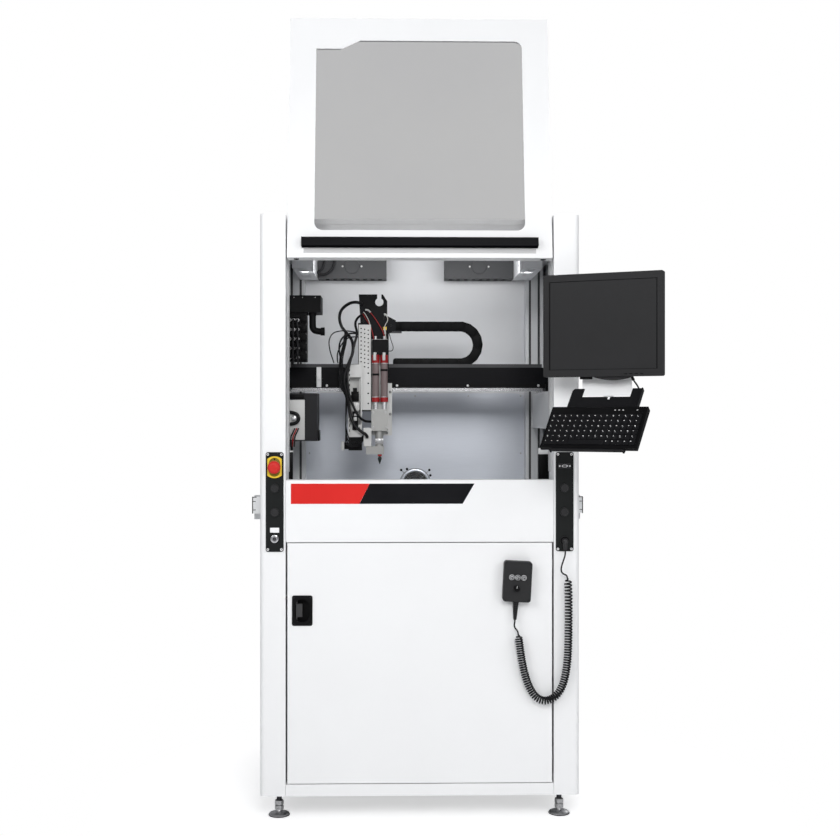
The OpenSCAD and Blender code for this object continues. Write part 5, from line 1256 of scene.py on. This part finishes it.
# Control plates: textured black laminate on both columns, each held by four silver screws. On
# the left the emergency stop in its yellow shroud, two blanking plugs and the key switch; on
# the right the data socket, two plugs and the pendant's socket.
laminate = skin_finish("black_laminate", (0.010, 0.011, 0.011), 0.35, (0.42, 0.55), grains=1100,
                       depth=0.00006, specular=0.12)
dress("control_plates", laminate)
plate_x = box_mm("control_plates")[1][0] - 27.25
plug_black = skin_finish("plug_black", (0.022, 0.022, 0.023), 0.3, (0.3, 0.4), grains=1400,
                         specular=0.3)
dress_parts("plate_fittings", plug_black,
            (satin_steel, (-plate_x - 12.5, -FAR, 829), (-plate_x + 12.5, FAR, 855)))
dress("key_barrel", dull_stud)
dress("estop_collar", yellow_plastic)
dress("estop_head", red_plastic)
dress("estop_stem", moulded_black)
corners = [(s * plate_x + sx * 21, -3, 955 + sz * 146)
           for s in (-1, 1) for sx in (-1, 1) for sz in (-1, 1)]
countersunk = [[0, 0.6], [1.7, 0.6], [1.7, -0.6], [3.4, -1.1], [3.9, -0.5], [3.9, 0.2], [0, 0.2]]
bright_screw = skin_finish("bright_screw", (0.80, 0.80, 0.81), 0.05, (0.3, 0.4), grains=900)
turned_piece("plate_screws", countersunk, corners, bright_screw, "root", sides=24)
plug_rings = [(s * plate_x, -7, z) for s in (-1, 1) for z in (997, 923)]
turned_piece("plug_rings", [[12, 0.6], [12.2, -0.4], [12.6, -0.5], [13.6, -0.3], [13.9, 0.6],
                            [12, 0.6]], plug_rings, laminate, "root")
blank = [block((-plate_x - 14, -3.3, 861), (-plate_x + 14, -2.95, 876), 0.1)]
built("blank_label", blank, cover_paint, "root")
key_at = [(-plate_x, -9, 842)]
turned_piece("key_ring", [[6.6, 0.8], [7, -0.9], [9.8, -1.2], [11.6, -0.6], [11.9, 0.6],
                          [6.6, 0.8]], key_at, chrome, "root")
socket_ring = [(plate_x, -7, 834)]
turned_piece("socket_nut", [[9.7, 0.4], [10, -2.2], [12.4, -2.4], [13.4, -1.6], [13.6, 0.4],
                            [9.7, 0.4]], socket_ring, moulded_black, "root")
small = [(plate_x + dx, -5, 1065) for dx in (-15.7, 15.7)]
turned_piece("socket_screws", [[0, 0.3], [0.8, 0.3], [0.8, -0.5], [2.2, -0.7], [2.7, 0.2],
                               [0, 0.2]], small, bright_screw, "root", sides=20)
shell = [[(plate_x + k * 8.4 * math.cos(a) + (0.9 * k if math.cos(a) > 0 else -0.9 * k), y,
           1065 + k * 3.9 * math.sin(a)) for a in np.linspace(0, 2 * np.pi, 40, endpoint=False)]
         for k, y in ((0.72, -4.9), (0.72, -6.2), (0.86, -6.4), (1, -6.1), (1, -4.9))]
built("socket_shell", [grid_mesh("shell", spots(np.array(shell)), wrap_u=True, wrap_v=True)],
      bright_screw, "root")

# Shroud of the emergency stop: inside its bright rim a darker yellow well, which is painted shade
# in the shroud's hollow, with a black index mark
well_z = sum(box_mm("estop_collar"))[2] / 2
half_turn, end_r, end_z = np.linspace(0, np.pi, 24), 17.2, 11.8
round_end = np.stack([end_r * np.cos(half_turn), end_z + end_r * np.sin(half_turn)], axis=1)
stadium = np.vstack([round_end, -round_end])
rows = [np.stack([-plate_x + k * stadium[:, 0], np.full(len(stadium), y),
                  well_z + k * stadium[:, 1]], axis=1) for k, y in
        ((0, -7.35), (0.97, -7.35), (1, -7.1), (1, -6.8), (0, -6.8))]
well_painted_shade = skin_finish("shroud_well_painted_shade", (0.20, 0.145, 0.012), 0.2, (0.5, 0.6), grains=1400, specular=0.2)
built("shroud_well", [grid_mesh("well", spots(np.array(rows)), wrap_v=True)], well_painted_shade, "root")
turned_piece("index_mark", [[0, -0.4], [2.4, -0.4], [2.6, 0.3], [0, 0.3]],
             [(-plate_x, -7.4, well_z + 24.5)], moulded_black, "root", sides=20)


# Service door: a folded pan on three pin hinges behind its right edge. The latch cup is
# moulded; its paddle turns the tongue away from the left column.
dress("service_hinges", zinc)
dress("latch_cup", moulded_black)
dress("latch_paddle", skin_finish("satin_black", (0.03, 0.03, 0.031), 0.3, (0.3, 0.42)))
latch_x, _, latch_z = sum(box_mm("latch_cup")) / 2
cup_screws = [(latch_x + sx * 26.5, -3, latch_z + sz * 41.5) for sx in (-1, 1) for sz in (-1, 1)]
turned_piece("latch_screws", countersunk, cup_screws, black_oxide, "service_door",
             sides=24)


# Hand pendant on the door: a moulded case with three toggle switches under ring nuts, a speed
# knob, four case screws and a strain relief for the curly cord.
hand = setting((298, -4, 712), (0, 3, 0))
case_black = skin_finish("case_black", (0.022, 0.022, 0.023), 0.2, (0.45, 0.55), grains=1300,
                         specular=0.15)
dress("pendant_case", case_black)
switch_xs = (-18.5, 0, 18.5)


def facing(place, points, profile, sides=32):
    """Like turned parts facing forwards at places on a turned setting."""
    axis = place((0, 1, 0)) - place((0, 0, 0))
    return [lathe_mesh("part", profile, place(p), axis, sides) for p in points]


# The ring nuts are chrome. Each is drawn with a dark face and a bright rim: painted reflection and
# highlight of the chrome
nuts = facing(hand, [(x, -30, 13) for x in switch_xs],
              [[5.35, 0], [5.35, -1.8], [6.4, -2.2], [8.0, -1.6], [8.2, 0], [5.35, 0]])
built("switch_nuts", nuts, dull_stud, "service_door")
nut_rim_highlights = facing(hand, [(x, -30, 13) for x in switch_xs],
                  [[7.3, -0.4], [7.3, -2.1], [7.7, -2.3], [8.3, -1.7], [8.4, -0.4], [7.3, -0.4]])
built("nut_rim_highlights", nut_rim_highlights, bright_screw, "service_door")
for number, x in enumerate(switch_xs, 1):
    node = "pendant_switch_%d" % number
    dress(node, satin_steel)
    lever = facing(hand, [(x, -34, 13)], [[0, 0], [2.2, 0], [1.5, -2.2], [1.9, -8], [2.5, -10.4],
                                          [2.1, -12], [0, -12.4]], 20)
    built("switch_lever_%d" % number, lever, dull_stud, node)
dress("pendant_knob", moulded_black)
pointer = [block((-2.6, -44.12, -19), (-1.4, -43.9, -11.8), 0.05, hand)]
built("knob_pointer", pointer, white_plate, "pendant_knob")
case_screws = facing(hand, [(sx * 36, -30, sz * 55) for sx in (-1, 1) for sz in (-1, 1)],
                     [[0, 0.5], [1.3, 0.5], [1.3, -0.1], [2.6, -0.4], [3.0, 0], [3.0, 0.2],
                      [0, 0.2]], 20)
built("pendant_screws", case_screws, black_oxide, "service_door")
relief_rings = [[3, -62.5]]
for i in range(9):
    z = -63 - 6 * i
    relief_rings += [[9.3 - 0.45 * i, z], [9.3 - 0.45 * i, z - 2.6], [8.0 - 0.45 * i, z - 3.0],
                     [8.0 - 0.45 * i, z - 5.6]]
relief_rings += [[3, -117.5], [3, -62.5]]
relief = lathe_mesh("relief", relief_rings, hand((-1, -15, 0)),
                    hand((0, 0, 1)) - hand((0, 0, 0)), 28)
built("pendant_relief", [relief], rubber, "service_door")
magnets = facing(hand, [(0, 3.6, z) for z in (-35, 35)],
                 [[0, 0.35], [9.5, 0.35], [9.5, -0.3], [0, -0.3]], 32)
built("pendant_magnets", magnets, zinc, "service_door")


# Operator's arm: cast bracket and arm in dark grey, a white coated mast, the screen in its
# black moulded case and a sloping tray with the compact keyboard.
cast_grey = skin_finish("cast_dark_grey", (0.007, 0.007, 0.008), 0.25, (0.4, 0.55), grains=600,
                        depth=0.0001, specular=0.15)
dress("arm_bracket", cast_grey)
dress("swing_arm", cast_grey)
dress("screen_mast", cover_paint)
bezel = skin_finish("bezel_black", (0.019, 0.019, 0.020), 0.15, (0.4, 0.5), grains=2200,
                    depth=0.00003, specular=0.15)
dress("screen_case", bezel)
dress("keyboard_tray", cast_grey)
dress("keyboard_case", moulded_black)
mast_x, mast_y = 453 + 110, -32 - 80
facing_user = setting((mast_x, mast_y, 0), (0, 0, -25))
screen_z = 1488
panel_paint, panel_tree, panel = finish_of("screen_panel", specular=0.1)
panel_skin = place_group(panel_tree, skin, {
    "Colour": (0.0165, 0.0145, 0.014, 1), "Other colour": (0.018, 0.0165, 0.016, 1),
    "Roughness": 0.22, "Other roughness": 0.28, "Clouds per metre": 3,
    "Grains per metre": 3000})
panel_tree.links.new(panel_skin.outputs["Colour"], panel.inputs["Base Color"])
panel_tree.links.new(panel_skin.outputs["Roughness"], panel.inputs["Roughness"])
raise_relief(panel_tree, panel, panel_skin.outputs["Relief"], 0.00001, 0.2)


def at_screen(points):
    """Points drawn from the middle of the screen, turned to the operator."""
    return facing_user(np.array(points, float) + (0, 0, screen_z))


built("screen_panel", [block((-163.8, -67.5, -131.8), (163.8, -66.98, 131.8), 0.1, at_screen)],
      panel_paint, "screen")
# Painted shade: a thin black frame round the panel stands for the shadow line in the gap between
# the panel and its case
gap_shade_x, gap_shade_z = (160.4, 165.6), (130.4, 133.6)
gap_shade_strips = [block((x0, -68.2, z0), (x1, -67.6, z1), 0.1, at_screen) for x0, x1, z0, z1 in
       [(-gap_shade_x[1], -gap_shade_x[0], -gap_shade_z[1], gap_shade_z[1]), (gap_shade_x[0], gap_shade_x[1], -gap_shade_z[1], gap_shade_z[1]),
        (-gap_shade_x[1], gap_shade_x[1], -gap_shade_z[1], -gap_shade_z[0]), (-gap_shade_x[1], gap_shade_x[1], gap_shade_z[0], gap_shade_z[1])]]
built("panel_gap_shade", gap_shade_strips, moulded_black, "screen")
buttons = [block((x - 5, -70.6, -147), (x + 5, -62, -144), 0.5, at_screen)
           for x in (70, 86, 102, 118)]
built("screen_buttons", buttons, moulded_black, "screen")
lead = [[84, -48, -150], [86, -48, -158], [90, -46, -167], [97, -42, -178], [103, -38, -192],
        [104, -28, -210], [92, -8, -228], [62, 4, -236], [34, 3, -238], [14, 1, -238]]
lead = tube_piece("screen_lead", spots(smooth_route(at_screen(lead), 4)), 0.0024, sides=12)
dress(lead, hose_skin)
spot(*at_screen((85, -48, -160)))
spot(*at_screen((95, -12, -226)))
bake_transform(lead)
plug_route = smooth_route(at_screen([[83.6, -48, -151], [85, -48, -157], [88.5, -46.5, -164]]), 2)
plugs = [tube_mesh("plug", spots(plug_route), 0.0042, 14),
         block((-72, -60, -160), (-34, -52, -152.5), 2, at_screen)]
built("screen_plugs", plugs, moulded_black, "screen")
sloping = setting((mast_x - 33, mast_y - 154, screen_z - 253), (48, 0, -31))
keyboard_w, keyboard_d = 290, 150
field = setting((-8 - keyboard_w / 2 + 9, -keyboard_d - 11.5 + 9, 11 + 10.3), (3, 0, 0))


def at_keys(points):
    """Points drawn on the key field, from its nearest left corner."""
    return sloping(field(points))


key_black = skin_finish("key_black", (0.006, 0.006, 0.007), 0.3, (0.45, 0.55), grains=1500,
                        specular=0.15)
dress("keycaps", key_black)
key_rows, key_columns = 6, 15
key_w, key_d = (keyboard_w - 18) / key_columns, (keyboard_d - 40) / key_rows
marks = []
for row in range(key_rows):
    for i in range(key_columns):
        if row > 0 or i < 4 or i > 9:
            x, y = key_w * i + 3.4, key_d * (row + 1) - 4.4
            wide = (1.8, 2.6, 3.8)[(i * 7 + row * 5) % 3]
            marks.append(block((x, y - 2.2, 4.9), (x + wide, y, 5.06), 0, at_keys))
            if row > 0 and (i + row) % 2:
                marks.append(block((x + 2, y - 5.4, 4.9), (x + 4.6, y - 4.2, 5.06), 0, at_keys))
key_ink = skin_finish("key_ink", (0.80, 0.80, 0.80), 0.05, (0.4, 0.5), grains=900)
built("key_marks", marks, key_ink, "keycaps")
lights = [block((x, 124.5, 2.2), (x + 4.5, 127.5, 2.9), 0.1, at_keys)
          for x in (184, 196, 208, 250)]
built("status_lights", lights, white_plate, "keyboard")
pegs = [block((x, -148, -17), (x + 5.5, -142.5, -0.1), 1.2, sloping) for x in (-138, 82)]
built("tray_pegs", pegs, moulded_black, "keyboard")
